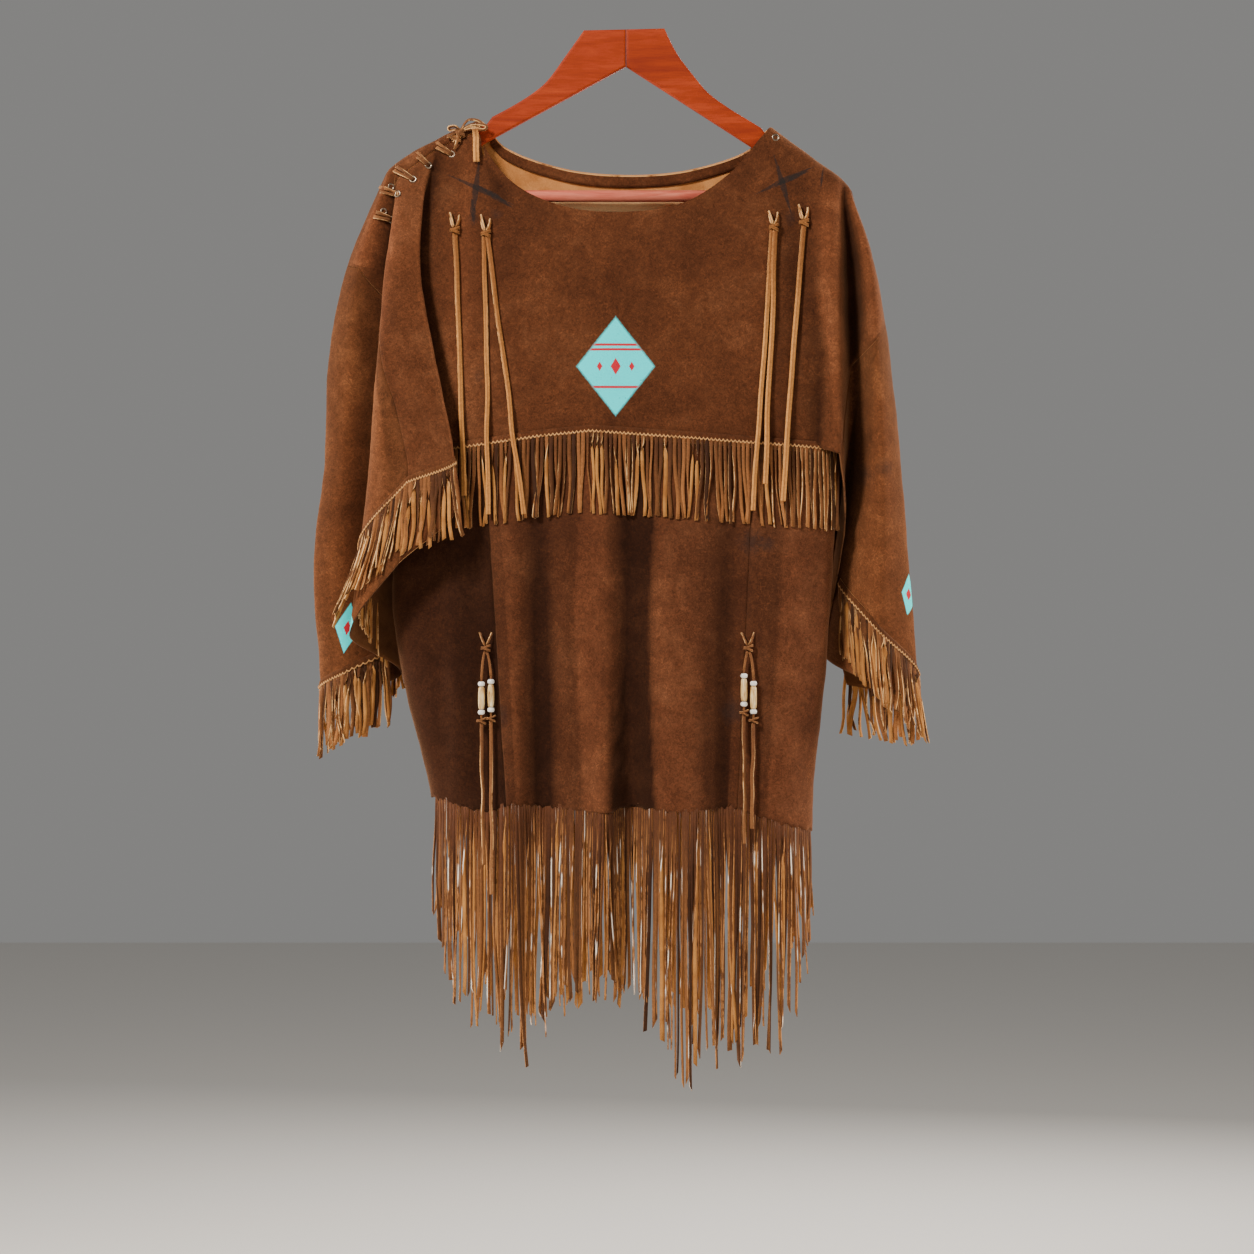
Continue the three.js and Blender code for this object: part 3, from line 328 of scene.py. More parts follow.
def along(t, read):
    i = math.floor(t)
    return between([read(line(i + k)) for k in (-1, 0, 1, 2)], t - i)


def straight(t, read):
    i = math.floor(t)
    return mix(read(line(i)), read(line(i + 1)), t - i)


def on_ridge(row):
    return row["ridge"] == 1 or row["side"] == 0


def cape_top(t):
    """Where a line of the cape starts: straight runs over the shoulders, a smooth curve round the neck."""
    i = math.floor(t)
    if on_ridge(line(i)) and on_ridge(line(i + 1)):
        return [straight(t, lambda row: row["top"][0]), straight(t, lambda row: row["top"][1]),
                straight(t, lambda row: row["top_y"])]
    return along(t, lambda row: (*row["top"], row["top_y"]))


def bend_at(t):
    ends = [line(math.floor(t)), line(math.floor(t) + 1)]
    share = straight(t, lambda row: row["side"] * row["ridge"])
    at_neck = any(row["side"] != 0 and row["ridge"] == 0 for row in ends)
    return math.copysign(abs(share) ** BEND_FALL, share) if at_neck else share


def cape_base(t, z):
    return along(t, lambda row: (drape(row["heights"], row["xs"], z), drape(row["heights"], row["ys"], z)))


def cape(t, z):
    """A point of the cape's middle surface."""
    top_x, top_z, top_y = cape_top(t)
    drop = max(top_z - z, 0)
    here = cape_base(t, z)
    over = max(RIDGE_RADIUS - drop, 0)
    rounding = RIDGE_RADIUS - math.sqrt(max(RIDGE_RADIUS ** 2 - over ** 2, 0))
    if drop >= SETTLE:
        return Vector((here[0], here[1], z))
    start = cape_base(t, top_z)
    fade = 1 - smooth(clamp(drop / SETTLE))
    return Vector((here[0] + (top_x - start[0]) * fade,
                   here[1] + (top_y - start[1]) * fade - bend_at(t) * rounding, z))


# The lower body, from its section at each height
SKIRT = dict(
    z=(-430, -560, -620, -700, -829, -1080),
    left=(-224, -245, -248, -236, -206, -190),
    right=(226, 221, 217, 211, 199, 196),
    front=(50, 54, 56, 57, 56, 50),
    back=(36, 42, 45, 48, 50, 46),
)
SKIRT_POWER = 3
SKIRT_SIDE_Y = -5
SKIRT_TOP = -440
SKIRT_HEM = -829
SIDE_TOP = -450
# Folds: x at the top, x at the hem, half width, and how far the cloth comes forward at the hem
FRONT_FOLDS = [(-128, -113, 20, 11), (-92, -90, 24, -20), (-24, -21, 20, 22), (1, -1, 20, -22),
               (60, 58, 34, 18), (106, 104, 20, -12), (180, 168, 24, 6)]
BACK_FOLDS = [(-120, -110, 34, 14), (-60, -58, 30, -14), (5, 0, 36, 16), (66, 60, 30, -14), (124, 116, 32, 12)]
FRONT_SEAMS = dict(left=(-150, -126), right=(136, 118))
BACK_SEAMS = dict(left=(-140, -124), right=(140, 124))
HEM_LINE = [(-206, -820), (-174, -829), (-148, -835), (-120, -826), (-74, -830), (-20, -836),
            (0, -828), (66, -835), (110, -829), (168, -848), (199, -856)]


def skirt_section(z):
    left = drape(SKIRT["z"], SKIRT["left"], z)
    right = drape(SKIRT["z"], SKIRT["right"], z)
    return ((left + right) / 2, (right - left) / 2,
            drape(SKIRT["z"], SKIRT["front"], z), drape(SKIRT["z"], SKIRT["back"], z))


def skirt_grown(z):
    return clamp((SKIRT_TOP - z) / (SKIRT_TOP - SKIRT_HEM))


def skirt(u, z):
    """A point of the lower body: u runs from the left side over the front to the right side, then behind."""
    angle = 2 * math.pi * u
    centre, half, front_depth, back_depth = skirt_section(z)
    e = 2 / SKIRT_POWER
    cosine = math.cos(angle)
    x = centre - half * math.copysign(abs(cosine) ** e, cosine)
    front = math.sin(angle) >= 0
    roundness = abs(math.sin(angle)) ** e
    grown = skirt_grown(z)
    pushed = 0
    for top, hem, width, push in FRONT_FOLDS if front else BACK_FOLDS:
        off = (x - mix(top, hem, grown)) / width
        pushed += push * math.exp(-off * off) * grown ** 0.8
    fade = min(1, roundness * 1.5) * min(1, roundness / 0.3)
    depth = (front_depth if front else back_depth) * roundness + pushed * fade
    return Vector((x, (-depth if front else depth) + SKIRT_SIDE_Y * (1 - roundness), z))


def skirt_u(x, z, front):
    centre, half = skirt_section(z)[:2]
    ratio = clamp((centre - x) / half, -1, 1)
    cosine = math.copysign(abs(ratio) ** (SKIRT_POWER / 2), ratio)
    u = math.acos(cosine) / (2 * math.pi)
    return u if front else 1 - u


def surface_normal(surface, outward, t, z, step):
    across = surface(t + step, z) - surface(t - step, z)
    up = surface(t, z + 0.02) - surface(t, z - 0.1)
    return (across.cross(up) * outward).normalized()


def on_cape(t, z, lift=0.0):
    normal = surface_normal(cape, -1, t, z, 0.01)
    return cape(t, z) + normal * lift, normal


def on_skirt(x, z, front, lift=0.0):
    u = skirt_u(x, z, front)
    normal = surface_normal(skirt, 1, u, z, 0.0005)
    return skirt(u, z) + normal * lift, normal


HALVINGS = 24
ARMHOLE_X = -190


def search_line(x, z, low, high):
    """The line of the cape between low and high that passes a place, found by halving."""
    for _ in range(HALVINGS):
        t = (low + high) / 2
        if cape(t, z).x > x:
            low = t
        else:
            high = t
    return low


def front_line(x, z):
    return search_line(x, z, right_line_at("right_chest"), line_at("armhole" if x > ARMHOLE_X else "left_edge"))


def in_front(x, z, lift):
    if z > SKIRT_TOP:
        point = cape(front_line(x, z), z)
    else:
        point = skirt(skirt_u(x, z, True), z)
    return Vector((x, point.y - lift, z))


# Small creases of the cloth: from x, z to x, z, half width and depth, a ridge where it is positive
FRONT_CREASES = [
    (-214, -160, -196, -330, 12, -3.0), (-150, -215, -120, -420, 26, 1.6), (-90, -235, -70, -430, 30, -1.4),
    (-20, -230, -26, -430, 28, 1.2), (60, -215, 70, -425, 34, -1.3), (120, -175, 150, -400, 26, 1.5),
    (176, -190, 190, -440, 16, -1.6), (-196, -330, -175, -450, 9, 1.2), (-140, -120, -40, -215, 14, 1.0),
    (100, -175, 170, -140, 14, 1.2), (-248, -300, -240, -470, 9, -1.4), (-262, -380, -255, -500, 8, 1.2),
    (205, -180, 212, -300, 9, 1.5), (-60, -330, 50, -350, 22, 0.8),
]
BACK_CREASES = [
    (-150, -140, -110, -420, 30, 2.0), (-60, -170, -50, -430, 26, -1.8), (20, -180, 12, -440, 34, 2.0),
    (90, -160, 110, -420, 26, -1.8), (170, -160, 190, -430, 22, 1.8), (-200, -150, -215, -400, 16, -1.8),
    (-110, -220, 90, -240, 24, 1.0), (-250, -300, -262, -560, 14, 1.6), (250, -320, 262, -600, 12, -1.4),
]
SKIRT_CREASES = [
    (-178, -470, -170, -820, 14, 1.8), (-205, -520, -190, -800, 12, -1.8), (-62, -520, -60, -820, 9, 1.2),
    (-47, -560, -42, -830, 6, -0.9), (28, -600, 30, -830, 8, 1.0), (84, -540, 80, -830, 9, -1.2),
    (150, -480, 146, -800, 12, 1.6), (196, -500, 186, -840, 12, -1.6), (-120, -480, -60, -530, 12, 0.9),
    (-215, -600, -150, -640, 16, 1.0), (60, -470, 130, -520, 16, -0.8),
    (-23, -445, -20, -860, 4.5, 2.4), (-160, -480, -150, -840, 11, -3.2), (-188, -500, -176, -830, 10, 2.6),
]


def crease_height(creases, x, z):
    total = 0
    for x0, z0, x1, z1, width, depth in creases:
        dx, dz = x1 - x0, z1 - z0
        f = ((x - x0) * dx + (z - z0) * dz) / (dx * dx + dz * dz)
        if not 0 < f < 1:
            continue
        off = ((x - x0) * dz - (z - z0) * dx) / math.hypot(dx, dz)
        wander = 3 * math.sin(f * 7 + x0)
        total += depth * math.exp(-((off + wander) / width) ** 2) * math.sin(math.pi * f) ** 0.7
    return total


LIMP_WAVES = ((0.9, 0.022), (0.5, 0.055), (0.16, 0.15))


def limpness(point):
    """The uneven surface of soft suede, in waves of about 45, 18 and 7 mm."""
    return sum(height * noise.noise(point * pace) for height, pace in LIMP_WAVES)


def front_relief(p):
    return crease_height(FRONT_CREASES, p.x, p.z) + limpness(p)


def back_relief(p):
    return crease_height(BACK_CREASES, p.x, p.z) + limpness(p)


def skirt_relief(p):
    return crease_height(SKIRT_CREASES, p.x, p.z) * (1 if p.y < 0 else 0.8) + limpness(p)


# Materials
def linear_colour(r, g, b):
    return tuple((v / 255) ** 2.2 for v in (r, g, b)) + (1.0,)


def factor(tone):
    """A factor of a colour, from one number for red, green and blue alike or from three."""
    return (*tone, 1) if isinstance(tone, tuple) else (tone, tone, tone, 1)


DARK_PAINT = linear_colour(40, 37, 36)
TURQUOISE = linear_colour(24, 234, 240)
RED_PAINT = linear_colour(186, 44, 56)
SHEEN_TINT = linear_colour(228, 168, 122)
# The colour of the painted light on the inside of the neck
PAINTED_LIGHT_FLESH = linear_colour(250, 206, 148)
CREASE_TONE = linear_colour(96, 58, 32)
NAP_LIGHT = (1.75, 1.7, 1.6)
SCUFF_LIGHT = (1.8, 1.7, 1.6)
# How far the painted shadow darkens the front of the lower body's left side
FRONT_SHADE = (0.4, 0.39, 0.38)


class Look:
    """A material in the making: its nodes, its shader and the place of each point."""

    def __init__(self, name, roughness, **sockets):
        self.material = bpy.data.materials.new(name)
        self.material.use_nodes = True
        self.tree = self.material.node_tree
        self.shader = self.tree.nodes["Principled BSDF"]
        sockets.update(Roughness=roughness, Sheen_Tint=SHEEN_TINT)
        for key, value in sockets.items():
            self.shader.inputs[key.replace("_", " ")].default_value = value
        self.place = self.put("TexCoord", out="Object")

    def put(self, kind, values=(), out=0, **settings):
        item = self.tree.nodes.new("ShaderNode" + kind)
        for key, value in settings.items():
            setattr(item, key, value)
        for key, value in values:
            if isinstance(value, bpy.types.NodeSocket):
                self.tree.links.new(value, item.inputs[key])
            else:
                item.inputs[key].default_value = value
        return item.outputs[out]

    def finish(self, tint, grain=None, strength=0.0, distance=0.0):
        self.tree.links.new(tint, self.shader.inputs["Base Color"])
        if grain:
            bump = self.put("Bump", [("Height", grain), ("Strength", strength), ("Distance", distance)])
            self.tree.links.new(bump, self.shader.inputs["Normal"])
        return self.material

    def maths(self, operation, a, b=0.0, clamped=False):
        return self.put("Math", [(0, a), (1, b)], operation=operation, use_clamp=clamped)

    def plus(self, a, b):
        return self.maths("ADD", a, b)

    def minus(self, a, b):
        return self.maths("SUBTRACT", a, b)

    def times(self, a, b):
        return self.maths("MULTIPLY", a, b)

    def size(self, a):
        return self.maths("ABSOLUTE", a)

    def fit(self, value, low, high, to_low=0.0, to_high=1.0):
        return self.put("MapRange", [(0, value), (1, low), (2, high), (3, to_low), (4, to_high)])

    def axis(self, which, place=None):
        return self.put("SeparateXYZ", [(0, place or self.place)], which)

    def kept(self, name):
        """What cloth and strands keep with each point."""
        return self.put("Attribute", out="Fac", attribute_name=name)

    def mapped(self, scale, turn=(0, 0, 0), place=None):
        return self.put("Mapping", [(0, place or self.place), (2, turn), (3, scale)])

    def mottle(self, scale, detail=3.0, rough=0.55, twist=0.0, place=None):
        return self.put("TexNoise", [("Vector", place or self.place), ("Scale", scale), ("Detail", detail),
                                     ("Roughness", rough), ("Distortion", twist)], "Fac")

    def ramp(self, value, stops):
        colour = self.put("ValToRGB", [("Fac", value)])
        elements = colour.node.color_ramp.elements
        while len(elements) < len(stops):
            elements.new(0.5)
        for element, (at, tone) in zip(elements, stops):
            element.position = at
            element.color = tone
        return colour

    def tones(self, value, stops):
        return self.ramp(value, [(at, linear_colour(*rgb)) for at, rgb in stops])

    def blend(self, amount, a, b, way="MIX"):
        return self.put("Mix", [(0, amount), (6, a), (7, b)], 2, data_type="RGBA", blend_type=way)

    def shade(self, amount, tint, by):
        return self.blend(amount, tint, factor(by), "MULTIPLY")

    def shade_by(self, amount, tint, value, stops):
        """The tint times a factor that follows a value."""
        by = self.ramp(value, [(at, factor(tone)) for at, tone in stops])
        return self.blend(amount, tint, by, "MULTIPLY")

    def on_front(self):
        return self.maths("LESS_THAN", self.axis(1), 0.0)

    def diamond(self, centre, angle, half_long, half_wide, ragged, place=None):
        """A painted diamond: 1 inside and 0 outside, with a brushed edge."""
        dx = self.minus(self.axis(0, place), centre[0] * MM)
        dz = self.minus(self.axis(2, place), centre[1] * MM)
        c, s = math.cos(math.radians(angle)), math.sin(math.radians(angle))
        long_way = self.plus(self.times(dx, c), self.times(dz, s))
        wide_way = self.minus(self.times(dz, c), self.times(dx, s))
        spread = self.plus(self.maths("DIVIDE", self.size(long_way), half_long * MM),
                           self.maths("DIVIDE", self.size(wide_way), half_wide * MM))
        brushed = self.minus(self.mottle(420, 3, 0.6, place=place), 0.5)
        return self.fit(self.plus(spread, self.times(brushed, ragged)), 1.04, 0.96)

    def band(self, centre, half):
        """A level painted band: 1 within half of a height."""
        off = self.size(self.minus(self.axis(2), centre * MM))
        return self.fit(off, (half + BAND_BLUR) * MM, (half - BAND_BLUR) * MM)

    def stain(self, tint, smudges, strength):
        """Soft dark marks, each round a place."""
        for (x, z), radius in smudges:
            spot = self.put("Mapping", [(0, self.place), (1, (-x * MM, 0, -z * MM)), (3, (1, 0.02, 1))])
            far = self.put("VectorMath", [(0, spot)], "Value", operation="LENGTH")
            torn = self.times(self.mottle(160, 4, 0.65, 0.6), 1.6 * radius * MM)
            mark = self.fit(self.minus(far, torn), 0.2 * radius * MM, -0.8 * radius * MM)
            tint = self.blend(self.times(mark, strength), tint, DARK_PAINT)
        return tint


BAND_BLUR = 0.4
SUEDE_TONES = dict(
    body=[(0.25, (61, 35, 23)), (0.5, (82, 49, 32)), (0.78, (108, 69, 47))],
    # The lower body's tones: the body's tones darkened, painted shade where the lower body gets less light
    skirt=[(0.25, (54, 31, 21)), (0.5, (73, 44, 30)), (0.78, (97, 62, 43))],
    sleeve=[(0.22, (58, 34, 22)), (0.5, (82, 50, 32)), (0.8, (110, 71, 46))],
    fringe=[(0.15, (52, 31, 19)), (0.45, (82, 50, 30)), (0.8, (124, 80, 48))],
)
# How dark painted shade makes a fold and how light painted light, with some real rubbing, makes a ridge, by how
# far it stands out
FOLD_SHADE_AND_WEAR_STOPS = [(0.05, (0.34, 0.32, 0.3)), (0.42, 0.9), (0.6, 1.05), (0.95, 1.5)]


def curly_fibres(look):
    """Short loose fibres that curl over the nap: the contours of a noise, broken into pieces."""
    parts = []
    for scale, patch in ((105, 26), (165, 48)):
        near = look.size(look.minus(look.mottle(scale, 2, 0.5, 1.6), 0.5))
        shown = look.fit(look.mottle(patch, 4), 0.42, 0.64)
        parts.append(look.times(look.fit(near, 0.04, 0.008), shown))
    return look.maths("MAXIMUM", *parts)


def suede(name, tones, painter=None):
    """Brushed suede: broad clouds, a speckled nap, curly fibres, painted shade in its folds and painted light
    on its ridges, partly real rubbing.
    """
    look = Look(name, 0.92, Sheen_Weight=0.3, Sheen_Roughness=0.4, Specular_IOR_Level=0.1)
    broad, patches = look.mottle(9, 3, 0.6, 0.5), look.mottle(44, 4, 0.65, 0.8)
    tint = look.tones(look.plus(look.times(broad, 0.6), look.times(patches, 0.4)), tones)
    nap = look.mottle(300, 5, 0.78, 1.2)
    tint = look.shade_by(0.8, tint, nap, [(0.3, 0.42), (0.5, 0.95), (0.7, NAP_LIGHT)])
    tint = look.shade(look.times(curly_fibres(look), 0.5), tint, NAP_LIGHT)
    scuff = look.mottle(120, 5, 0.75, 2.2)
    tint = look.shade(look.fit(scuff, 0.56, 0.8, 0, 0.6), tint, SCUFF_LIGHT)
    # Painted shade in folds and painted light on ridges, partly real rubbing
    tint = look.shade_by(1.0, tint, look.kept("wear"), FOLD_SHADE_AND_WEAR_STOPS)
    if painter:
        tint = painter(look, tint)
    return look.finish(tint, look.plus(look.times(nap, 0.7), look.mottle(1500, 2, 0.6)), 0.6, 0.0006)


# The strokes of the two stars: place, angle, half length and half width
STAR_STROKES = [
    ((-160, -173), 84, 37, 3.6), ((-155, -173), -25, 40, 3.0), ((-140, -180), -33, 24, 3.4),
    ((-163, -196), 96, 15, 3.2), ((169, -163), 26, 36, 3.6), ((167, -168), -74, 35, 3.4),
    ((178, -160), 24, 22, 2.6), ((209, -160), 82, 13, 1.4),
]
# Smudges of dark paint: place and radius
FRONT_SMUDGES = (((-163, -205), 9), ((-138, -200), 8), ((176, -204), 10), ((-157, -374), 8))
SKIRT_SMUDGES = (((133, -549), 16), ((149, -551), 10), ((114, -728), 18), ((-135, -733), 14))
SLEEVE_SMUDGES = (((250, -478), 16), ((275, -470), 12))
# The design on the chest: its middle, the heights of its bands, and the places and sizes of its small diamonds
DESIGN = (-11, -363)
DESIGN_BANDS = (-345, -340, -385)
DESIGN_DIAMONDS = ((-11, 9), (-28, 5), (6, 5))
BAND_HALF = 1.3
SLEEVE_DESIGN_ANGLE = 82


def paint_front(look, tint):
    """Two dark stars of dry brush strokes at the shoulders, and a plain design on the chest."""
    dry = look.fit(look.mottle(240, 4, 0.7, 0.6), 0.34, 0.5, 0.34, 0.74)
    for stroke in STAR_STROKES:
        tint = look.blend(look.times(look.diamond(*stroke, 0.5), dry), tint, DARK_PAINT)
    tint = look.stain(tint, FRONT_SMUDGES, 0.4)
    lozenge = look.diamond(DESIGN, 90, 52, 41, 0.05)
    flaked = look.times(lozenge, look.fit(look.mottle(330, 4, 0.7), 0.28, 0.36, 0.4, 1.0))
    tint = look.blend(flaked, tint, TURQUOISE)
    for height in DESIGN_BANDS:
        tint = look.blend(look.times(look.band(height, BAND_HALF), lozenge), tint, RED_PAINT)
    for x, reach in DESIGN_DIAMONDS:
        tint = look.blend(look.diamond((x, DESIGN[1]), 90, reach, reach * 0.6, 0.1), tint, RED_PAINT)
    return tint


def paint_skirt(look, tint):
    return look.stain(tint, SKIRT_SMUDGES, look.times(look.on_front(), 0.55))


def paint_front_shadow(look, tint):
    """Painted shadow: the left side of the lower body is darker in front, where the flap above shades it."""
    return look.shade(look.fit(look.axis(1), 15 * MM, -20 * MM), tint, FRONT_SHADE)


EDGE_SLACK = 5


def round_edge(look, edge):
    """Places measured round a sleeve's outer edge, from it forwards below 0 and behind above 0. The first few
    millimetres inwards count as the edge, which isn't quite upright."""
    off = look.minus(look.axis(1), edge[1] * MM)
    inwards = look.minus(look.size(look.minus(look.axis(0), edge[0] * MM)), EDGE_SLACK * MM)
    reach = look.plus(look.maths("MAXIMUM", inwards, 0.0), look.size(off))
    return look.put("CombineXYZ", [(0, look.times(look.maths("SIGN", off), reach)), (2, look.axis(2))])


def paint_sleeve(centre, half_long, half_wide, edge=None, smudges=()):
    """A plain diamond on a sleeve: on its front, or round its outer edge. Its front has smudges too."""
    def painter(look, tint):
        tint = look.stain(tint, smudges, look.times(look.on_front(), 0.45))
        place = round_edge(look, edge) if edge else None
        shown = 1.0 if edge else look.on_front()
        for share, ragged, paint in ((1, 0.08, TURQUOISE), (0.3, 0.1, RED_PAINT)):
            size = (half_long * share, half_wide * share)
            mark = look.diamond(centre, SLEEVE_DESIGN_ANGLE, *size, ragged, place)
            tint = look.blend(look.times(mark, shown), tint, paint)
        return tint

    return painter


def flesh_side(name, dark, light, clean_below=None):
    """The undyed inside of the hide, painted paler below a given height: painted light where light reaches
    under the rail.
    """
    look = Look(name, 0.95, Sheen_Weight=0.2, Specular_IOR_Level=0.1)
    tint = look.tones(look.mottle(30, 4, 0.6, 0.6), [(0.3, dark), (0.75, light)])
    if clean_below:
        # Painted light: paler below the given height
        low = look.fit(look.axis(2), clean_below * MM, (clean_below - 5) * MM)
        tint = look.blend(low, tint, PAINTED_LIGHT_FLESH)
    fibres = look.mottle(480, 5, 0.75, 1.8)
    tint = look.shade_by(0.5, tint, fibres, [(0.3, (0.6, 0.58, 0.55)), (0.7, 1.35)])
    return look.finish(tint, fibres, 0.5, 0.0006)


def strand_leather(name, tones, tip_tone, middle_line=0.0, root_tone=None):
    """Fringe and laces: each strip has its own shade, and turns golden towards its tip."""
    look = Look(name, 0.85, Sheen_Weight=0.15, Specular_IOR_Level=0.2)
    shade_of, reach = look.kept("shade"), look.kept("reach")
    patches = look.mottle(90, 3, 0.6, 0.5)
    tint = look.tones(look.plus(look.times(shade_of, 0.7), look.times(patches, 0.3)), tones)
    golden = look.maths("MULTIPLY", look.fit(reach, 0.2, 1.0), look.times(shade_of, 0.9), True)
    tint = look.blend(golden, tint, linear_colour(*tip_tone))
    if root_tone:
        tint = look.blend(look.fit(reach, 0.02, 0.36, 1.0, 0), tint, linear_colour(*root_tone))
    if middle_line:
        crease = look.fit(look.size(look.kept("side")), 0.45, 0.1, 0, middle_line)
        tint = look.blend(crease, tint, CREASE_TONE)
    nap = look.mottle(420, 4, 0.7, 0.8)
    tint = look.shade_by(0.6, tint, nap, [(0.3, 0.5), (0.7, (1.6, 1.55, 1.5))])
    return look.finish(tint, nap, 0.35, 0.0004)


def cut_edge(name, dark, light, bare=0.32, white=None):
    """The edge where a blade went through the hide: pale in pieces, where the noise is over bare.
    With white, some strips show their white core in runs along their length."""
    look = Look(name, 0.8, Sheen_Weight=0.15, Specular_IOR_Level=0.2)
    tint = look.tones(look.mottle(60, 5, 0.7, 0.4), [(bare, dark), (bare + 0.12, light)])
    if white:
        strip = look.put("CombineXYZ", [(0, look.kept("shade")), (2, look.axis(2))])
        core = look.mottle(1.0, 3, 0.5, place=look.mapped((60, 1, 14), place=strip))
        tint = look.blend(look.fit(core, 0.58, 0.62), tint, linear_colour(*white))
    return look.finish(tint, look.mottle(900, 2), 0.3, 0.0003)


def varnished_wood(name, tones, turn, grain_scale):
    look = Look(name, 0.62, Coat_Weight=0.08, Coat_Roughness=0.7, Specular_IOR_Level=0.14)
    laid = look.mapped((2.2, 20, 20), (0, math.radians(turn), 0))
    tint = look.tones(look.mottle(grain_scale, 5, 0.6, 1.2, laid), tones)
    pores = look.mottle(grain_scale * 9, 2, 0.5, place=laid)
    tint = look.shade_by(0.25, tint, pores, [(0.35, (0.6, 0.55, 0.5)), (0.6, 1.1)])
    return look.finish(tint, pores, 0.08, 0.0004)


def bead_finish(name, tones, roughness, scale, squash):
    look = Look(name, roughness, Coat_Weight=0.4, Coat_Roughness=0.15)
    veins = look.mottle(scale, 3, 0.6, 0.4, look.mapped(squash))
    return look.finish(look.tones(veins, tones), look.mottle(700, 2), 0.08, 0.0002)


def nickel(name):
    look = Look(name, 0.4, Metallic=1.0)
    tarnish = look.mottle(260, 4, 0.6, 0.4)
    look.tree.links.new(look.fit(tarnish, 0.2, 0.8, 0.5, 0.22), look.shader.inputs["Roughness"])
    return look.finish(look.tones(tarnish, [(0.3, (96, 82, 68)), (0.7, (168, 150, 130))]))


FRONT_SUEDE = suede("front_suede", SUEDE_TONES["body"], paint_front)
BACK_SUEDE = suede("back_suede", SUEDE_TONES["body"])
# The lower body's suede, in tones darkened as painted shade
SHADED_SKIRT_SUEDE = suede("skirt_suede", SUEDE_TONES["skirt"], paint_skirt)
# The left side of the lower body, with a painted shadow on its front
SHADOWED_SIDE_SUEDE = suede("skirt_side_suede", SUEDE_TONES["skirt"], paint_front_shadow)
LEFT_SLEEVE_SUEDE = suede("left_sleeve_suede", SUEDE_TONES["sleeve"], paint_sleeve((-298, -640), 27, 13))
RIGHT_SLEEVE_SUEDE = suede("right_sleeve_suede", SUEDE_TONES["sleeve"],
                           paint_sleeve((-7, -604), 22, 15, edge=(305, 3), smudges=SLEEVE_SMUDGES))
# The inside of the back, with painted light on the crescent below the rail
NECK_FLESH = flesh_side("neck_flesh_side", (166, 108, 60), (212, 150, 92), clean_below=-178)
# A darker copy of the flesh side: painted shade for the insides of the front, sleeves and lower body, which lie
# in shadow
SHADED_FLESH = flesh_side("sleeve_flesh_side", (66, 40, 24), (108, 69, 43))
DARK_FACING = suede("neck_facing_suede", SUEDE_TONES["body"])
CLOTH_EDGE = cut_edge("cloth_edge", (112, 72, 42), (190, 140, 90), 0.34)
# A darker copy of the cut edge: painted shade for sleeve edges that lie in deep folds; the lower body's panels
# use it too
SHADED_EDGE = cut_edge("seam_edge", (58, 36, 23), (104, 68, 43), 0.42)
STRAND_EDGE = cut_edge("strand_edge", (112, 72, 41), (222, 174, 118), 0.42)
HEM_EDGE = cut_edge("hem_strand_edge", (96, 60, 36), (176, 122, 74), 0.42, (244, 230, 212))
STRANDS = strand_leather("fringe_suede", SUEDE_TONES["fringe"], (158, 103, 58))
STRAND_FLESH = flesh_side("fringe_flesh", (132, 84, 45), (196, 138, 78))
HEM_TONES = [(0.15, (44, 26, 17)), (0.5, (80, 49, 31)), (0.8, (118, 77, 47))]
LACE_TONES = [(0.2, (112, 68, 36)), (0.5, (168, 110, 58)), (0.8, (198, 138, 78))]
DARK_LACE_TONES = [(0.2, (66, 41, 27)), (0.5, (98, 63, 41)), (0.8, (136, 91, 57))]
HEM_STRANDS = strand_leather("hem_fringe_suede", HEM_TONES, (144, 95, 55), root_tone=(80, 48, 31))
LACE = strand_leather("lace_leather", LACE_TONES, (196, 134, 72), 0.6, root_tone=(132, 84, 46))
DARK_LACE = strand_leather("dark_lace_leather", DARK_LACE_TONES, (150, 102, 62), 0.4)
HANGER_TONES = [(0.25, (122, 40, 15)), (0.5, (144, 50, 19)), (0.75, (166, 64, 27))]
RAIL_TONES = [(0.25, (150, 62, 50)), (0.5, (184, 92, 74)), (0.8, (206, 126, 104))]
LEFT_WOOD = varnished_wood("left_hanger_wood", HANGER_TONES, -35, 3.2)
RIGHT_WOOD = varnished_wood("right_hanger_wood", HANGER_TONES, 38, 3.2)
RAIL_PAINT = varnished_wood("rail_paint", RAIL_TONES, 0, 4)
BONE = bead_finish("bone_bead", [(0.3, (150, 96, 48)), (0.48, (214, 176, 112)), (0.7, (240, 222, 176))],
                   0.35, 40, (8, 8, 1.5))
WHITE_GLASS = bead_finish("white_bead", [(0.3, (205, 200, 190)), (0.7, (246, 244, 238))], 0.2, 60, (1, 1, 1))
NICKEL = nickel("nickel_eyelet")


# Making pieces
def finish_piece(name, bm, materials, nodes=(), wall=None):
    """A piece from its mesh. With a wall, the mesh is its middle surface."""
    mesh = bpy.data.meshes.new(name)
    for face in bm.faces:
        face.smooth = True
    bm.to_mesh(mesh)
    bm.free()
    for material in materials:
        mesh.materials.append(material)
    piece = bpy.data.objects.new(name, mesh)
    bpy.context.collection.objects.link(piece)
    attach(piece, "root")
    if nodes:
        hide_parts(*nodes)
    if wall:
        solid = piece.modifiers.new("wall", "SOLIDIFY")
        solid.thickness = wall * MM
        solid.offset = 0
        solid.material_offset = 1
        solid.material_offset_rim = 2
        solid.use_even_offset = False
    return piece


# How far to each side a point is set against its neighbours, and how far out of line counts fully, for painted
# shade in folds and painted light on ridges
FOLD_SHADE_AND_WEAR_REACH = 6
FOLD_SHADE_AND_WEAR_DEPTH = 5


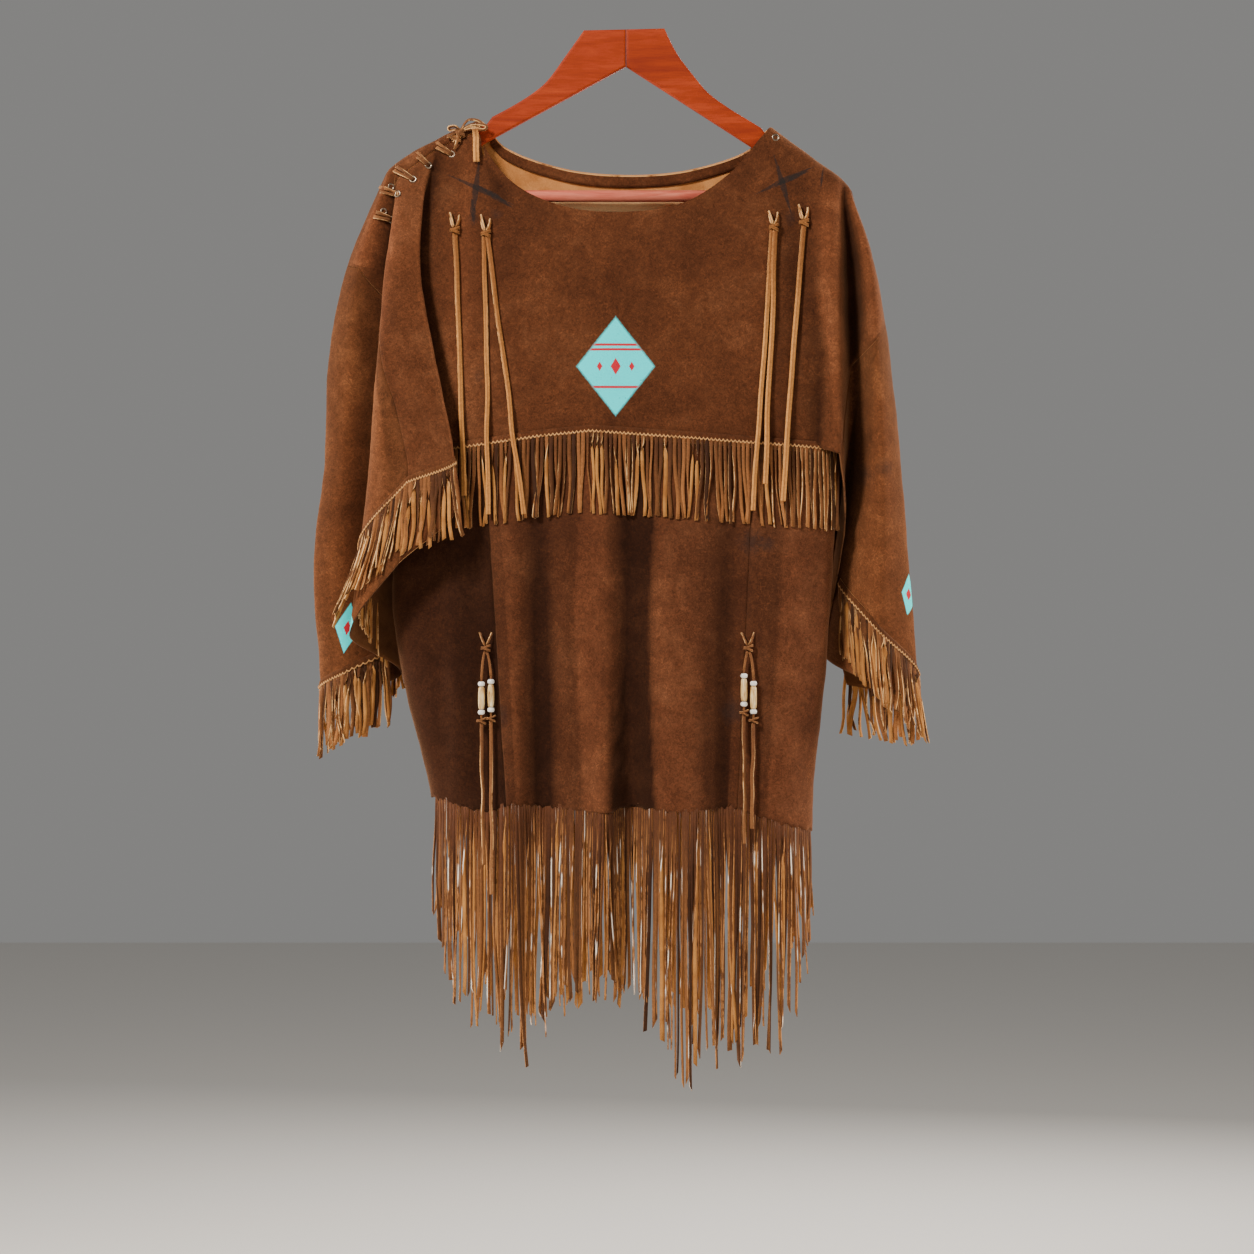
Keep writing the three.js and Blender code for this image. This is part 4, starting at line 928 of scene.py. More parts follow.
def cloth(columns, rows, place, relief, flip=False, keep=None, finish_of=None):
    """A sheet from a grid: place gives each point from its column and row, relief lifts it along its normal.
    It also keeps with each point how far it stands out of its row, from 0 in a fold to 1 on a ridge, for
    painted shade in folds and painted light, partly real wear, on ridges."""
    bm = bmesh.new()
    wear = bm.verts.layers.float.new("wear")
    bmesh.ops.create_grid(bm, x_segments=columns, y_segments=rows, size=0.5)
    spare = []
    for face in bm.faces:
        middle = face.calc_center_median()
        cell = int((middle.x + 0.5) * columns), int((0.5 - middle.y) * rows)
        if keep and not keep(*cell):
            spare.append(face)
        if finish_of:
            face.material_index = finish_of(*cell)
    bmesh.ops.delete(bm, geom=spare, context="FACES")
    knots = {}
    for vert in bm.verts:
        spot = round((vert.co.x + 0.5) * columns), round((0.5 - vert.co.y) * rows)
        vert.co = place(*spot)
        knots[spot] = vert
    if flip:
        bmesh.ops.reverse_faces(bm, faces=bm.faces)
    bm.normal_update()
    # Painted shade and light: how far each point stands out of its row
    for (i, j), vert in knots.items():
        left, right = knots.get((i - FOLD_SHADE_AND_WEAR_REACH, j)), knots.get((i + FOLD_SHADE_AND_WEAR_REACH, j))
        proud = (vert.co - (left.co + right.co) / 2).dot(vert.normal) if left and right else 0
        vert[wear] = 0.5 + 0.5 * clamp(proud / FOLD_SHADE_AND_WEAR_DEPTH, -1, 1)
    for vert in bm.verts:
        vert.co += vert.normal * relief(vert.co)
    bmesh.ops.scale(bm, vec=(MM, MM, MM), verts=bm.verts)
    return bm


# Seams of the sleeves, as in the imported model
SLEEVE_SEAMS = dict(
    left=dict(head=-251, front=[(-256, 1), (-300, 2), (-332, 3), (-400, 3.65), (-470, 4), (-572, 4)],
              back=[(-256, 1), (-350, 3), (-449, 6)]),
    right=dict(head=-305, front=[(-322, 0.5), (-360.3, 2), (-456, 3)], back=[(-322, 0.5), (-449, 4)]),
)
LAP = [(-157, 13), (-210, 13), (-226, 18), (-246, 23)]
LAP_GAP = 0.6
PLAIN_LAP = 15
SEAM_GAP = 0.3
EDGE_CROWDING = 1.7
HEAD_CROWDING = 1.4
TURN_ROWS = 6
WALL = 1.6
RIDGE_ROWS = [0.012, 0.3, 1.2, 2.6, 4.5, 6.6, 9]
HEAD_ROWS = 32
SEAM_ROWS = 46
LAST_ROW = len(RIDGE_ROWS) + HEAD_ROWS + SEAM_ROWS
LEFT = dict(edge=line_at("left_edge"), seam=SLEEVE_SEAMS["left"], sign=-1)
RIGHT = dict(edge=right_line_at("right_edge"), seam=SLEEVE_SEAMS["right"], sign=1)
RIGHT_BEHIND = dict(RIGHT, edge=line_at("right_edge"))


def hem_at(t):
    i = math.floor(t)
    if line(i)["chest"] and line(i + 1)["chest"]:
        return chest_line(cape(t, SKIRT_TOP).x)
    return straight(t, lambda row: row["hem"])


def pinked_at(t):
    return straight(t, lambda row: row["fringe"])


def inwards_of(shoulder, face):
    return shoulder["sign"] if face == "front" else -shoulder["sign"]


def seam_place(shoulder, face, v):
    path = shoulder["seam"][face]
    z = mix(path[0][0], path[-1][0], v)
    return shoulder["edge"] + inwards_of(shoulder, face) * linear(path, z), z


def gap_step(t, inwards, z):
    step = 0.04 * inwards
    return SEAM_GAP / 2 * step / (cape(t, z) - cape(t + step, z)).length


def yoke_point(shoulder, face, inner, share, row):
    """The line and height of a point of the front or back piece. share is 1 at the side's edge."""
    inwards = inwards_of(shoulder, face)
    if shoulder["sign"] > 0:
        share = 1 - (1 - share) ** EDGE_CROWDING
    ridge_row = len(RIDGE_ROWS)
    head_row = ridge_row + HEAD_ROWS
    head = shoulder["seam"]["head"]
    if row > head_row:
        down = (row - head_row) / SEAM_ROWS
        past = max(0, row - head_row - TURN_ROWS) / (SEAM_ROWS - TURN_ROWS)
        seam_t, seam_z = seam_place(shoulder, face, past ** HEAD_CROWDING)
        turned = min(1, (row - head_row) / TURN_ROWS)
        seam_t, seam_z = mix(shoulder["edge"], seam_t, turned), mix(head, seam_z, turned)
        plain = mix(head, hem_at(inner), down ** HEAD_CROWDING)
        return mix(inner, seam_t, share), mix(plain, seam_z, share)
    edge = shoulder["edge"]
    t = mix(inner, edge + gap_step(edge, inwards, mix(cape_top(edge)[1] - 3, head, row / head_row)), share)
    top_x, top_z = cape_top(t)[:2]
    if row < ridge_row:
        return t, top_z - RIDGE_ROWS[row]
    lap = linear(LAP, top_x) + LAP_GAP if shoulder["sign"] < 0 else PLAIN_LAP
    return t, mix(top_z - lap, head, (row - ridge_row) / HEAD_ROWS)


def yoke_place(right, face, inner, wings, middle, i, row):
    """The line and height of a point of the front or back piece, from its column and row."""
    if i <= wings[0]:
        return yoke_point(LEFT, face, inner[0], 1 - i / wings[0], row)
    past = i - wings[0] - middle
    if past >= 0:
        return yoke_point(right, face, inner[1], past / wings[1], row)
    f = (i - wings[0]) / middle
    at = mix(*inner, f)
    t, left_z = yoke_point(LEFT, face, at, 0, row)
    return t, mix(left_z, yoke_point(right, face, at, 0, row)[1], f)


def make_front():
    inner = (line_at("flap_inner"), right_line_at("right_chest"))
    wings, middle = (48, 34), 92
    lap_start = wings[0] * 2 // 5
    lap_end = wings[0] + round(middle * (inner[0] - line_at("front_neck_0")) / (inner[0] - inner[1]))

    def place(i, j):
        return cape(*yoke_place(RIGHT, "front", inner, wings, middle, i, j))

    def keep(i, j):
        return not (j < len(RIDGE_ROWS) and lap_start <= i < lap_end)

    bm = cloth(sum(wings) + middle, LAST_ROW, place, front_relief, keep=keep)
    materials = [FRONT_SUEDE, SHADED_FLESH, CLOTH_EDGE]
    return finish_piece("front_panel", bm, materials, ["yoke_front"], WALL)


def make_back():
    inner = (line_at("back_neck_left"), line_at("back_neck_right"))
    wings, middle = (34, 28), 80
    lap_rows = len(RIDGE_ROWS)
    lap_start = 9

    def place(i, j):
        t, z = yoke_place(RIGHT_BEHIND, "back", inner, wings, middle, i, max(j - lap_rows, 0))
        if j >= lap_rows:
            return cape(t, z)
        ahead = min(2 * LEFT["edge"] - t, LEFT["edge"] - 2 - 0.05)
        top_x, top_z = cape_top(ahead)[:2]
        return cape(ahead, top_z - (RIDGE_ROWS + [linear(LAP, top_x)])[lap_rows - j])

    def keep(i, j):
        return j >= lap_rows or lap_start <= i < wings[0]

    bm = cloth(sum(wings) + middle, lap_rows + LAST_ROW, place, back_relief, flip=True, keep=keep)
    materials = [BACK_SUEDE, NECK_FLESH, CLOTH_EDGE]
    return finish_piece("back_panel", bm, materials, ["yoke_back"], WALL)


def make_sleeve(name, node, shoulder, counts, rows, material, flip):
    front_count, back_count = counts

    def relief(p):
        return front_relief(p) if p.y < 0 else back_relief(p)

    def place(i, j):
        face = "front" if i <= front_count else "back"
        share = 1 - i / front_count if face == "front" else (i - front_count) / back_count
        v = j / rows
        seam_t, seam_z = seam_place(shoulder, face, v)
        inwards = inwards_of(shoulder, face)
        t = mix(shoulder["edge"], seam_t - gap_step(seam_t, inwards, seam_z), share)
        top = mix(shoulder["seam"]["head"], seam_place(shoulder, face, 0)[1], share)
        hem = hem_at(mix(shoulder["edge"], seam_place(shoulder, face, 1)[0], share))
        return cape(t, mix(top, hem, v) - SEAM_GAP * (1 - v) * mix(0.4, 1, share))

    bm = cloth(front_count + back_count, rows, place, relief, flip=flip)
    return finish_piece(name, bm, [material, SHADED_FLESH, SHADED_EDGE], [node], WALL)


front_panel = make_front()
back_panel = make_back()
left_sleeve = make_sleeve("left_sleeve", "sleeve_left", LEFT, (60, 40), 96, LEFT_SLEEVE_SUEDE, True)
right_sleeve = make_sleeve("right_sleeve", "sleeve_right", RIGHT, (38, 34), 84, RIGHT_SLEEVE_SUEDE, False)

FACING = dict(width=13, drop=0.8, inside=1.9, wall=1.2, columns=72, rows=(0, 0.1, 0.4, 0.7, 1))


def make_facing():
    start, end = line_at("back_neck_0") - 0.5, line_at("back_neck_4") + 0.5
    columns, rows = FACING["columns"], FACING["rows"]

    def place(i, j):
        t = mix(start, end, i / columns)
        return on_cape(t, cape_top(t)[1] - FACING["drop"] - FACING["width"] * rows[j], -FACING["inside"])[0]

    bm = cloth(columns, len(rows) - 1, place, lambda p: 0.3 * noise.noise(p * 0.08),
               finish_of=lambda i, j: 0 if j else 2)
    materials = [DARK_FACING, NECK_FLESH, CLOTH_EDGE]
    return finish_piece("neck_facing", bm, materials, ["back_neck_facing"], FACING["wall"])


neck_facing = make_facing()


def seam_x(seam, z):
    return mix(seam[0], seam[1], skirt_grown(z))


def skirt_top(u):
    x = skirt(u, SKIRT_TOP).x
    return min(chest_line(x), 0 if 0.02 < u < 0.48 else SIDE_TOP) - 0.6


def hem_cut(x):
    return linear(HEM_LINE, x) + 2.4 * math.sin(x * 0.83) * math.sin(x * 0.31 + 1)


def make_skirt(name, node, from_at, to_at, columns, rows=98, material=SHADED_SKIRT_SUEDE):
    def place(i, j):
        f = j / rows
        rough = mix(SKIRT_TOP, SKIRT_HEM, f)
        u = mix(from_at(rough), to_at(rough), i / columns)
        return skirt(u, mix(skirt_top(u), hem_cut(skirt(u, SKIRT_HEM).x), f))

    bm = cloth(columns, rows, place, skirt_relief)
    return finish_piece(name, bm, [material, SHADED_FLESH, SHADED_EDGE], [node], WALL)


SEAM_U = 0.00012


def front_seam(side, gap):
    return lambda z: skirt_u(seam_x(FRONT_SEAMS[side], z), z, True) + gap * SEAM_U


def back_seam(side, gap, turns=0):
    return lambda z: skirt_u(seam_x(BACK_SEAMS[side], z), z, False) + gap * SEAM_U - turns


skirt_front = make_skirt("skirt_front_panel", "skirt_front", front_seam("left", 1), front_seam("right", -1),
                         84)
skirt_back = make_skirt("skirt_back_panel", "skirt_back", back_seam("right", 1), back_seam("left", -1), 64, 84)
skirt_left = make_skirt("skirt_left_panel", "skirt_side_left", back_seam("left", 1, 1), front_seam("left", -1),
                        56, material=SHADOWED_SIDE_SUEDE)
skirt_right = make_skirt("skirt_right_panel", "skirt_side_right", front_seam("right", 1),
                         back_seam("right", -1), 52)


# Fringe: strands cut from a strip that is sewn under a pinked edge
STRAND_WALL = 1.2


class Strands:
    """One mesh of flat strips. Each keeps its own shade, and how far along and across it a point is."""

    # How far a strand turns to show its flesh side, its edge or nearly its hair side, and how early
    FLESH_TURN = 0.6
    EDGE_TURN = (0.75, 1.4)
    FLAT_TURN = 0.5
    TURN_PACE = (1.3, 4)
    # Its waves as a share of its sway, how far it stands off, and the width of its tip as a share
    WAVE = (0.3, 1.3)
    STAND = (0.2, 3.4)
    TIP_WIDTH = (0.7, 1.1)

    def __init__(self, seed):
        self.bm = bmesh.new()
        self.shade = self.bm.verts.layers.float.new("shade")
        self.reach = self.bm.verts.layers.float.new("reach")
        self.side = self.bm.verts.layers.float.new("side")
        self.rng = random.Random(seed)

    def ribbon(self, rows, place, shade, out=None):
        """A strip of two edges: place gives a point from its side, -1 or 1, and its share of the length.
        With out, its hair side faces that way."""
        way = 1
        if out is not None:
            low, high, on = place(-1, 0.5), place(1, 0.5), place(-1, 0.52)
            way = 1 if (high - low).cross(low - on).dot(out) > 0 else -1
        for vert in bmesh.ops.create_grid(self.bm, x_segments=1, y_segments=rows, size=0.5)["verts"]:
            side = way if vert.co.x > 0 else -way
            f = 0.5 - vert.co.y
            vert.co = place(side, f) * MM
            vert[self.shade] = shade
            vert[self.reach] = f
            vert[self.side] = side

    def strand(self, root, across, out, length, width, look, settle=None, lean=0.0):
        """A strand that hangs from root. settle keeps a point of it outside what lies behind."""
        rng = self.rng
        if across.cross(Vector((0, 0, 1))).dot(out) < 0:
            across = -across
        kind = rng.random()
        if kind < look["flesh"]:
            turn = math.pi + rng.uniform(-self.FLESH_TURN, self.FLESH_TURN)
        elif kind < look["flesh"] + look["edge_on"]:
            turn = rng.uniform(*self.EDGE_TURN)
        else:
            turn = rng.uniform(-self.FLAT_TURN, self.FLAT_TURN)
        turn *= rng.choice((-1, 1))
        soon = rng.uniform(*self.TURN_PACE)
        bundled = look.get("bundle", 0) * math.sin(root.x * 0.25 + root.y * 0.02)
        drift = (rng.uniform(-1, 1) + bundled) * look["sway"]
        wave_size = rng.uniform(*self.WAVE) * look["sway"]
        wave_at = rng.uniform(0, 6)
        stand = rng.uniform(*self.STAND)
        slant = rng.uniform(-1, 1) * width * look["slant"]
        narrow = rng.uniform(*self.TIP_WIDTH)
        shade = rng.random()

        def place(side, f):
            angle = turn * smooth(clamp(f * soon))
            middle = root + Vector((lean * f ** 1.5, 0, -length * f))
            middle = middle + across * (drift * f * f * 4 + wave_size * math.sin(wave_at + f * 7) * f)
            middle = middle + out * (stand * smooth(clamp(f * 1.15)))
            half = width / 2 * mix(mix(0.8, 1, clamp(f * 7)), narrow, f)
            point = middle + (across * math.cos(angle) + out * math.sin(angle)) * (side * half)
            if f > 0.99:
                point.z += side * slant * 0.5
            return settle(point) if settle else point

        self.ribbon(look["rows"], place, shade)

    def finish(self, name, nodes, wall=STRAND_WALL, hair_side=None, edge=None, slot="suede_fringe"):
        self.bm.normal_update()
        materials = [hair_side or STRANDS, STRAND_FLESH, edge or STRAND_EDGE]
        return finish_piece(name, self.bm, materials, nodes, wall)


SPREAD_STEPS = 400


def spread_evenly(surface, height_at, start, end, pitch):
    """Places along a line on a surface, a pitch apart, and the length of the line."""
    places = [mix(start, end, f) for f in shares(SPREAD_STEPS)]
    reach = [0.0]
    for a, b in zip(places, places[1:]):
        reach.append(reach[-1] + (surface(a, height_at(a)) - surface(b, height_at(b))).length)
    count = int(reach[-1] / pitch)
    found, k = [], 1
    for i in range(count):
        length = (i + 0.5) * reach[-1] / count
        while reach[k] < length:
            k += 1
        f = (length - reach[k - 1]) / (reach[k] - reach[k - 1])
        found.append(mix(places[k - 1], places[k], f))
    return found, reach[-1]


# The pinked edge: the width and depth of a scallop, and the height and lift of each row over the pinked line
PINK = 4.3
PINK_DEPTH = 2.2
TRIM_WALL = 0.9
TRIM_HEIGHTS = (6, 3, 1.4, -0.1)
TRIM_LIFTS = (1.1, 1.9, 2.9, 3.2)


def pinked_edge(name, point_at, start, end, length, material):
    """The edge over the head of a fringe, cut in small scallops that show pale. point_at gives a point from a
    place, a height above the pinked line and a lift."""
    columns = int(length / PINK) * 4

    def place(i, j):
        scallop = abs(math.sin(math.pi * i / 4)) * PINK_DEPTH if j > 1 else 0
        return point_at(mix(start, end, i / columns), TRIM_HEIGHTS[j] - scallop, TRIM_LIFTS[j])

    front = place(1, 1).y < 0
    along_x = place(columns, 1).x > place(0, 1).x
    bm = cloth(columns, len(TRIM_HEIGHTS) - 1, place, lambda p: 0.0, flip=front != along_x,
               finish_of=lambda i, j: 2 if j == 2 else 0)
    finish_piece(name, bm, [material, material, CLOTH_EDGE], wall=TRIM_WALL)


HEAD_LIFT = 1.5
HEAD_STEP = 6


def finish_fringe(comb, name, node, edge_point, start, end, whole, material, head, out):
    """Sews a fringe's strip under its pinked edge. head is the strip's upper and lower height and shade."""
    top, low, shade = head

    def place(way, f):
        return edge_point(mix(start, end, f), top if way < 0 else low, HEAD_LIFT)

    comb.ribbon(int(whole / HEAD_STEP), place, shade, out)
    comb.finish(name, [node])
    pinked_edge(name + "_edge", edge_point, start, end, whole, material)


class Ground:
    """The cloth behind a fringe of the cape, from which the strands are kept clear."""

    STEP = 6
    REACH = 0.8
    CLEAR = 2.6

    def __init__(self, start, end, side):
        self.side = side
        self.lines = [mix(start - 0.5, end + 0.5, k / 30) for k in range(31)]
        self.top = max(pinked_at(t) for t in self.lines)
        bottom = min(hem_at(t) for t in self.lines)
        count = int((self.top - bottom) / self.STEP) + 2
        self.rows = [[cape(t, max(self.top - self.STEP * k, hem_at(t))) for t in self.lines]
                     for k in range(count)]

    def settle(self, t, point):
        row = self.rows[int(clamp((self.top - point.z) / self.STEP, 0, len(self.rows) - 1))]
        reach = None
        for k, (a, b) in enumerate(zip(row, row[1:])):
            inside = min(a.x, b.x) <= point.x <= max(a.x, b.x) and a.x != b.x
            if abs(self.lines[k] - t) > self.REACH or not inside:
                continue
            out = self.side * mix(a.y, b.y, (point.x - a.x) / (b.x - a.x))
            reach = out if reach is None else max(reach, out)
        if reach is not None and self.side * point.y < reach + self.CLEAR:
            point.y = self.side * (reach + self.CLEAR)
        return point


CAPE_LOOK = dict(rows=10, sway=2.3, slant=0.5, flesh=0.34, edge_on=0.28)
SHADED_LOOK = dict(rows=9, sway=1.6, slant=0.5, flesh=0.05, edge_on=0.3)


FRINGE_LENGTH = 78
SHADED_LENGTH = 0.8
FRONT_PITCH = 4.0
BACK_PITCH = 3.3


def cape_fringe(name, node, start, end, side, lean, seed, material, turned=None):
    comb = Strands(seed)
    places, whole = spread_evenly(cape, pinked_at, start, end, FRONT_PITCH if side < 0 else BACK_PITCH)
    ground = Ground(start, end, side)

    def edge_point(t, height, lift):
        return on_cape(t, pinked_at(t) + height, lift)[0]

    for t in places:
        root, out = on_cape(t, pinked_at(t), 1.7)
        across = (cape(t + 0.02, pinked_at(t + 0.02)) - cape(t - 0.02, pinked_at(t - 0.02))).normalized()
        flat_out = Vector((out.x, out.y, 0)).normalized()
        reach = FRINGE_LENGTH * comb.rng.uniform(0.9, 1.03)
        if turned is None or t < turned:
            comb.strand(root, across, flat_out, reach, comb.rng.uniform(3.6, 6.4), CAPE_LOOK,
                        settle=lambda point, t=t: ground.settle(t, point), lean=linear(lean, t))
        else:
            comb.strand(root, across, flat_out, reach * SHADED_LENGTH, comb.rng.uniform(3.4, 5.0),
                        SHADED_LOOK)

    middle = (start + end) / 2
    out = on_cape(middle, pinked_at(middle))[1]
    finish_fringe(comb, name, node, edge_point, start, end, whole, material, (2.5, -5, 0.3), out)


# Each fringe of the cape: its node, its first and last line, the side it faces, how its tips lean at each line,
# its seed and cloth, and the line from which it turns away
FLAP_INNER, FLAP_OUTER, VALLEY = line_at("flap_inner"), line_at("flap_outer"), line_at("deep_valley")
RIGHT_VALLEY = right_line_at("right_valley")
FRINGES = [
    ("left_flap_fringe", "fringe_flap_left", FLAP_INNER + 0.02, VALLEY - 0.3, -1,
     [(FLAP_INNER, 10), (FLAP_INNER + 1, -8), (FLAP_OUTER, -25)], 11, LEFT_SLEEVE_SUEDE, FLAP_OUTER + 0.18),
    ("left_sleeve_fringe", "fringe_sleeve_left", VALLEY + 0.3, LEFT["edge"] - 0.03, -1,
     [(VALLEY, 0), (LEFT["edge"], -3)], 12, LEFT_SLEEVE_SUEDE, None),
    ("left_back_fringe", "fringe_back_left", LEFT["edge"] + 0.03, LEFT["edge"] + 5, 1,
     [(LEFT["edge"], 0), (LEFT["edge"] + 5, 0)], 13, LEFT_SLEEVE_SUEDE, None),
    ("right_sleeve_fringe", "fringe_sleeve_right", RIGHT["edge"] + 0.03, RIGHT_VALLEY - 0.3, -1,
     [(RIGHT["edge"], 5), (RIGHT_VALLEY, 3)], 14, RIGHT_SLEEVE_SUEDE, None),
    ("right_back_fringe", "fringe_back_right", RIGHT_BEHIND["edge"] - 3, RIGHT_BEHIND["edge"] - 0.03, 1,
     [(RIGHT_BEHIND["edge"] - 3, 0), (RIGHT_BEHIND["edge"], 4)], 15, RIGHT_SLEEVE_SUEDE, None),
]
for fringe in FRINGES:
    cape_fringe(*fringe)


BODY_CLEAR = 2.2


def body_fringe(front, span, height_at, tip_at, seed, look):
    """Fringe on the lower body, and its length along the cloth. look says how strands are cut and turned."""
    comb = Strands(seed)
    side = -1 if front else 1

    def surface(x, z):
        return skirt(skirt_u(x, z, front), z)

    def settle(point):
        behind = surface(clamp(point.x, *span), point.z).y + side * BODY_CLEAR
        if side * point.y < side * behind:
            point.y = behind + side * 0.4
        return point

    places, whole = spread_evenly(surface, height_at, *span, look["pitch"])
    for x in places:
        root, out = on_skirt(x, height_at(x), front, look["lift"])
        across = (surface(x + 2, height_at(x + 2)) - surface(x - 2, height_at(x - 2))).normalized()
        length = (height_at(x) - tip_at(x)) * comb.rng.uniform(*look["spread"])
        comb.strand(root, across, Vector((out.x, out.y, 0)).normalized(), length,
                    comb.rng.uniform(*look["width"]), look, settle=settle if look["lift"] else None)
    return comb, whole


CHEST_FRINGE_LENGTH = 88
CHEST_LOOK = dict(pitch=4.8, width=(2.9, 4.7), lift=1.8, rows=9, spread=(0.965, 1.005), sway=1.5, slant=0.3,
                  flesh=0.2, edge_on=0.36)


def make_chest_fringe(name, node, front, span, line_of, seed, material):
    def tip_at(x):
        return line_of(x) - CHEST_FRINGE_LENGTH

    comb, whole = body_fringe(front, span, line_of, tip_at, seed, CHEST_LOOK)

    def edge_point(x, height, lift):
        return on_skirt(x, line_of(x) + height, front, lift)[0]

    out = Vector((0, -1 if front else 1, 0))
    finish_fringe(comb, name, node, edge_point, *span, whole, material, (3, -6, 0.25), out)


make_chest_fringe("chest_fringe", "fringe_chest", True, (-182, 224), chest_line, 21, FRONT_SUEDE)
make_chest_fringe("back_fringe", "fringe_back", False, (-192, 198), lambda x: SIDE_TOP, 22, BACK_SUEDE)

# The hem: strands cut from the lower body itself, with a second layer behind the first
HEM_TIPS_FRONT = [
    (-206, -950), (-183, -1045), (-143, -1072), (-117, -1108), (-90, -1070), (-47, -1030), (-20, -1034),
    (14, -1050), (44, -1095), (56, -1136), (75, -1122), (97, -1104), (136, -1100), (157, -1106),
    (180, -1045), (199, -930),
]
HEM_TIPS_BACK = [(-220, -935), (-198, -960), (-120, -1070), (0, -1040), (120, -1085), (199, -940)]
HEM_SPAN = (-203, 196)
HEM_LOOK = dict(pitch=4.4, width=(2.2, 5.6), lift=0, rows=16, spread=(0.84, 1.0), sway=1.5, slant=2.2,
                flesh=0.16, edge_on=0.36, bundle=0.9)


def make_hem_fringe(name, node, front, tips, seed):
    comb = body_fringe(front, HEM_SPAN, lambda x: hem_cut(x) + 2, lambda x: linear(tips, x), seed, HEM_LOOK)[0]
    comb.finish(name, [node], hair_side=HEM_STRANDS, edge=HEM_EDGE)


make_hem_fringe("hem_front_fringe", "fringe_hem_front", True, HEM_TIPS_FRONT, 31)
make_hem_fringe("hem_back_fringe", "fringe_hem_back", False, HEM_TIPS_BACK, 32)


# The hanger
LEFT_ARM = [
    (-45, -1), (-65, -29), (-87, -58), (-113, -77), (-143, -93.5), (-149, -101.5), (-157, -104.5),
    (-190, -117.5), (-222, -132.5), (-229, -140), (-232, -146), (-230, -186), (-222, -193), (-208, -191),
    (-206, -166), (-152, -122),
]
RIGHT_ARM = [
    (41, 1), (54, -25), (71, -48), (88, -68), (112, -85.6), (144, -105), (149, -111), (193, -140),
    (216, -155), (223, -163), (225, -170), (223, -190), (216, -196), (206, -194), (204, -173), (136, -127),
]
ARM_DEPTH = 11
ARM_ROUNDING = 2.4
RIM_ANGLE = 1.2
FLAT_FACE = 0.98
ARM_MIDDLE_FOOT = -39.6
RAIL = dict(radius=6.4, z=-178, left=-205, right=201.5)


def make_arm(name, node, outline, side, material):
    """An arm: its outline, filled, drawn out to its depth and rounded along its edges."""
    middle = side * 0.15
    upper = outline[:5]
    curve = []
    for i in range(4):
        run = [upper[max(i - 1, 0)], upper[i], upper[i + 1], upper[min(i + 2, 4)]]
        curve += [between(run, f) for f in (0, 0.25, 0.5, 0.75)]
    points = [(middle, 0)] + curve + outline[4:] + [(middle, ARM_MIDDLE_FOOT)]
    bm = bmesh.new()
    loop = [bm.verts.new((x * MM, -ARM_DEPTH / 2 * MM, z * MM)) for x, z in points]
    face = bm.faces.new(loop)
    drawn = bmesh.ops.extrude_face_region(bm, geom=[face])["geom"]
    moved = [v for v in drawn if isinstance(v, bmesh.types.BMVert)]
    bmesh.ops.translate(bm, verts=moved, vec=(0, ARM_DEPTH * MM, 0))
    bmesh.ops.recalc_face_normals(bm, faces=bm.faces)
    rims = [e for e in bm.edges
            if e.calc_face_angle(0) > RIM_ANGLE and abs(e.verts[0].co.y - e.verts[1].co.y) < 1e-6]
    bmesh.ops.bevel(bm, geom=rims, offset=ARM_ROUNDING * MM, offset_type="OFFSET", segments=5, profile=0.5,
                    affect="EDGES", material=-1)
    bmesh.ops.triangulate(bm, faces=[f for f in bm.faces if len(f.verts) > 4])
    piece = finish_piece(name, bm, [material], [node])
    for polygon in piece.data.polygons:
        polygon.use_smooth = abs(polygon.normal.y) < FLAT_FACE


def make_rail():
    bm = bmesh.new()
    length = RAIL["right"] - RAIL["left"]
    radius = RAIL["radius"] * MM
    bmesh.ops.create_cone(bm, cap_ends=True, segments=32, radius1=radius, radius2=radius, depth=length * MM)
    bmesh.ops.rotate(bm, verts=bm.verts, matrix=Matrix.Rotation(math.pi / 2, 3, "Y"))
    bmesh.ops.translate(bm, verts=bm.verts, vec=((RAIL["left"] + RAIL["right"]) / 2 * MM, 0, RAIL["z"] * MM))
    finish_piece("trouser_rail_rod", bm, [RAIL_PAINT], ["trouser_rail"])


make_arm("hanger_left_arm", "hanger_arm_left", LEFT_ARM, -1, LEFT_WOOD)
make_arm("hanger_right_arm", "hanger_arm_right", RIGHT_ARM, 1, RIGHT_WOOD)
make_rail()


# Laces, thongs and tassels
def follow(points, f):
    """A smooth path through points."""
    spans = len(points) - 1
    at = min(f * spans, spans - 1e-6)
    i = int(at)
    return Vector(between([points[max(i - 1, 0)], points[i], points[i + 1], points[min(i + 2, spans)]], at - i))


def lay_lace(comb, points, width, shade, turns=(0.0,), rows=None):
    """A flat lace along points. turns are its angles about its own line, from facing the front."""
    length = sum((a - b).length for a, b in zip(points, points[1:]))
    count = rows or max(3, int(length / 5))

    def place(side, f):
        point = follow(points, f)
        tangent = (follow(points, min(f + 0.01, 1)) - follow(points, max(f - 0.01, 0))).normalized()
        across = Vector((0, -1, 0)).cross(tangent)
        across = across.normalized() if across.length > 0.1 else Vector((1, 0, 0))
        facing = across.cross(tangent).normalized()
        at = f * (len(turns) - 1)
        k = min(int(at), len(turns) - 2) if len(turns) > 1 else 0
        angle = mix(turns[k], turns[k + 1], smooth(at - k)) if len(turns) > 1 else turns[0]
        return point + (across * math.cos(angle) + facing * math.sin(angle)) * (side * width / 2)

    comb.ribbon(count, place, shade)


# Each turn of a knot: its tilt, radius and height
KNOT_TURNS = ((0.35, 4.6, 0.0), (-0.4, 4.3, -2.2))


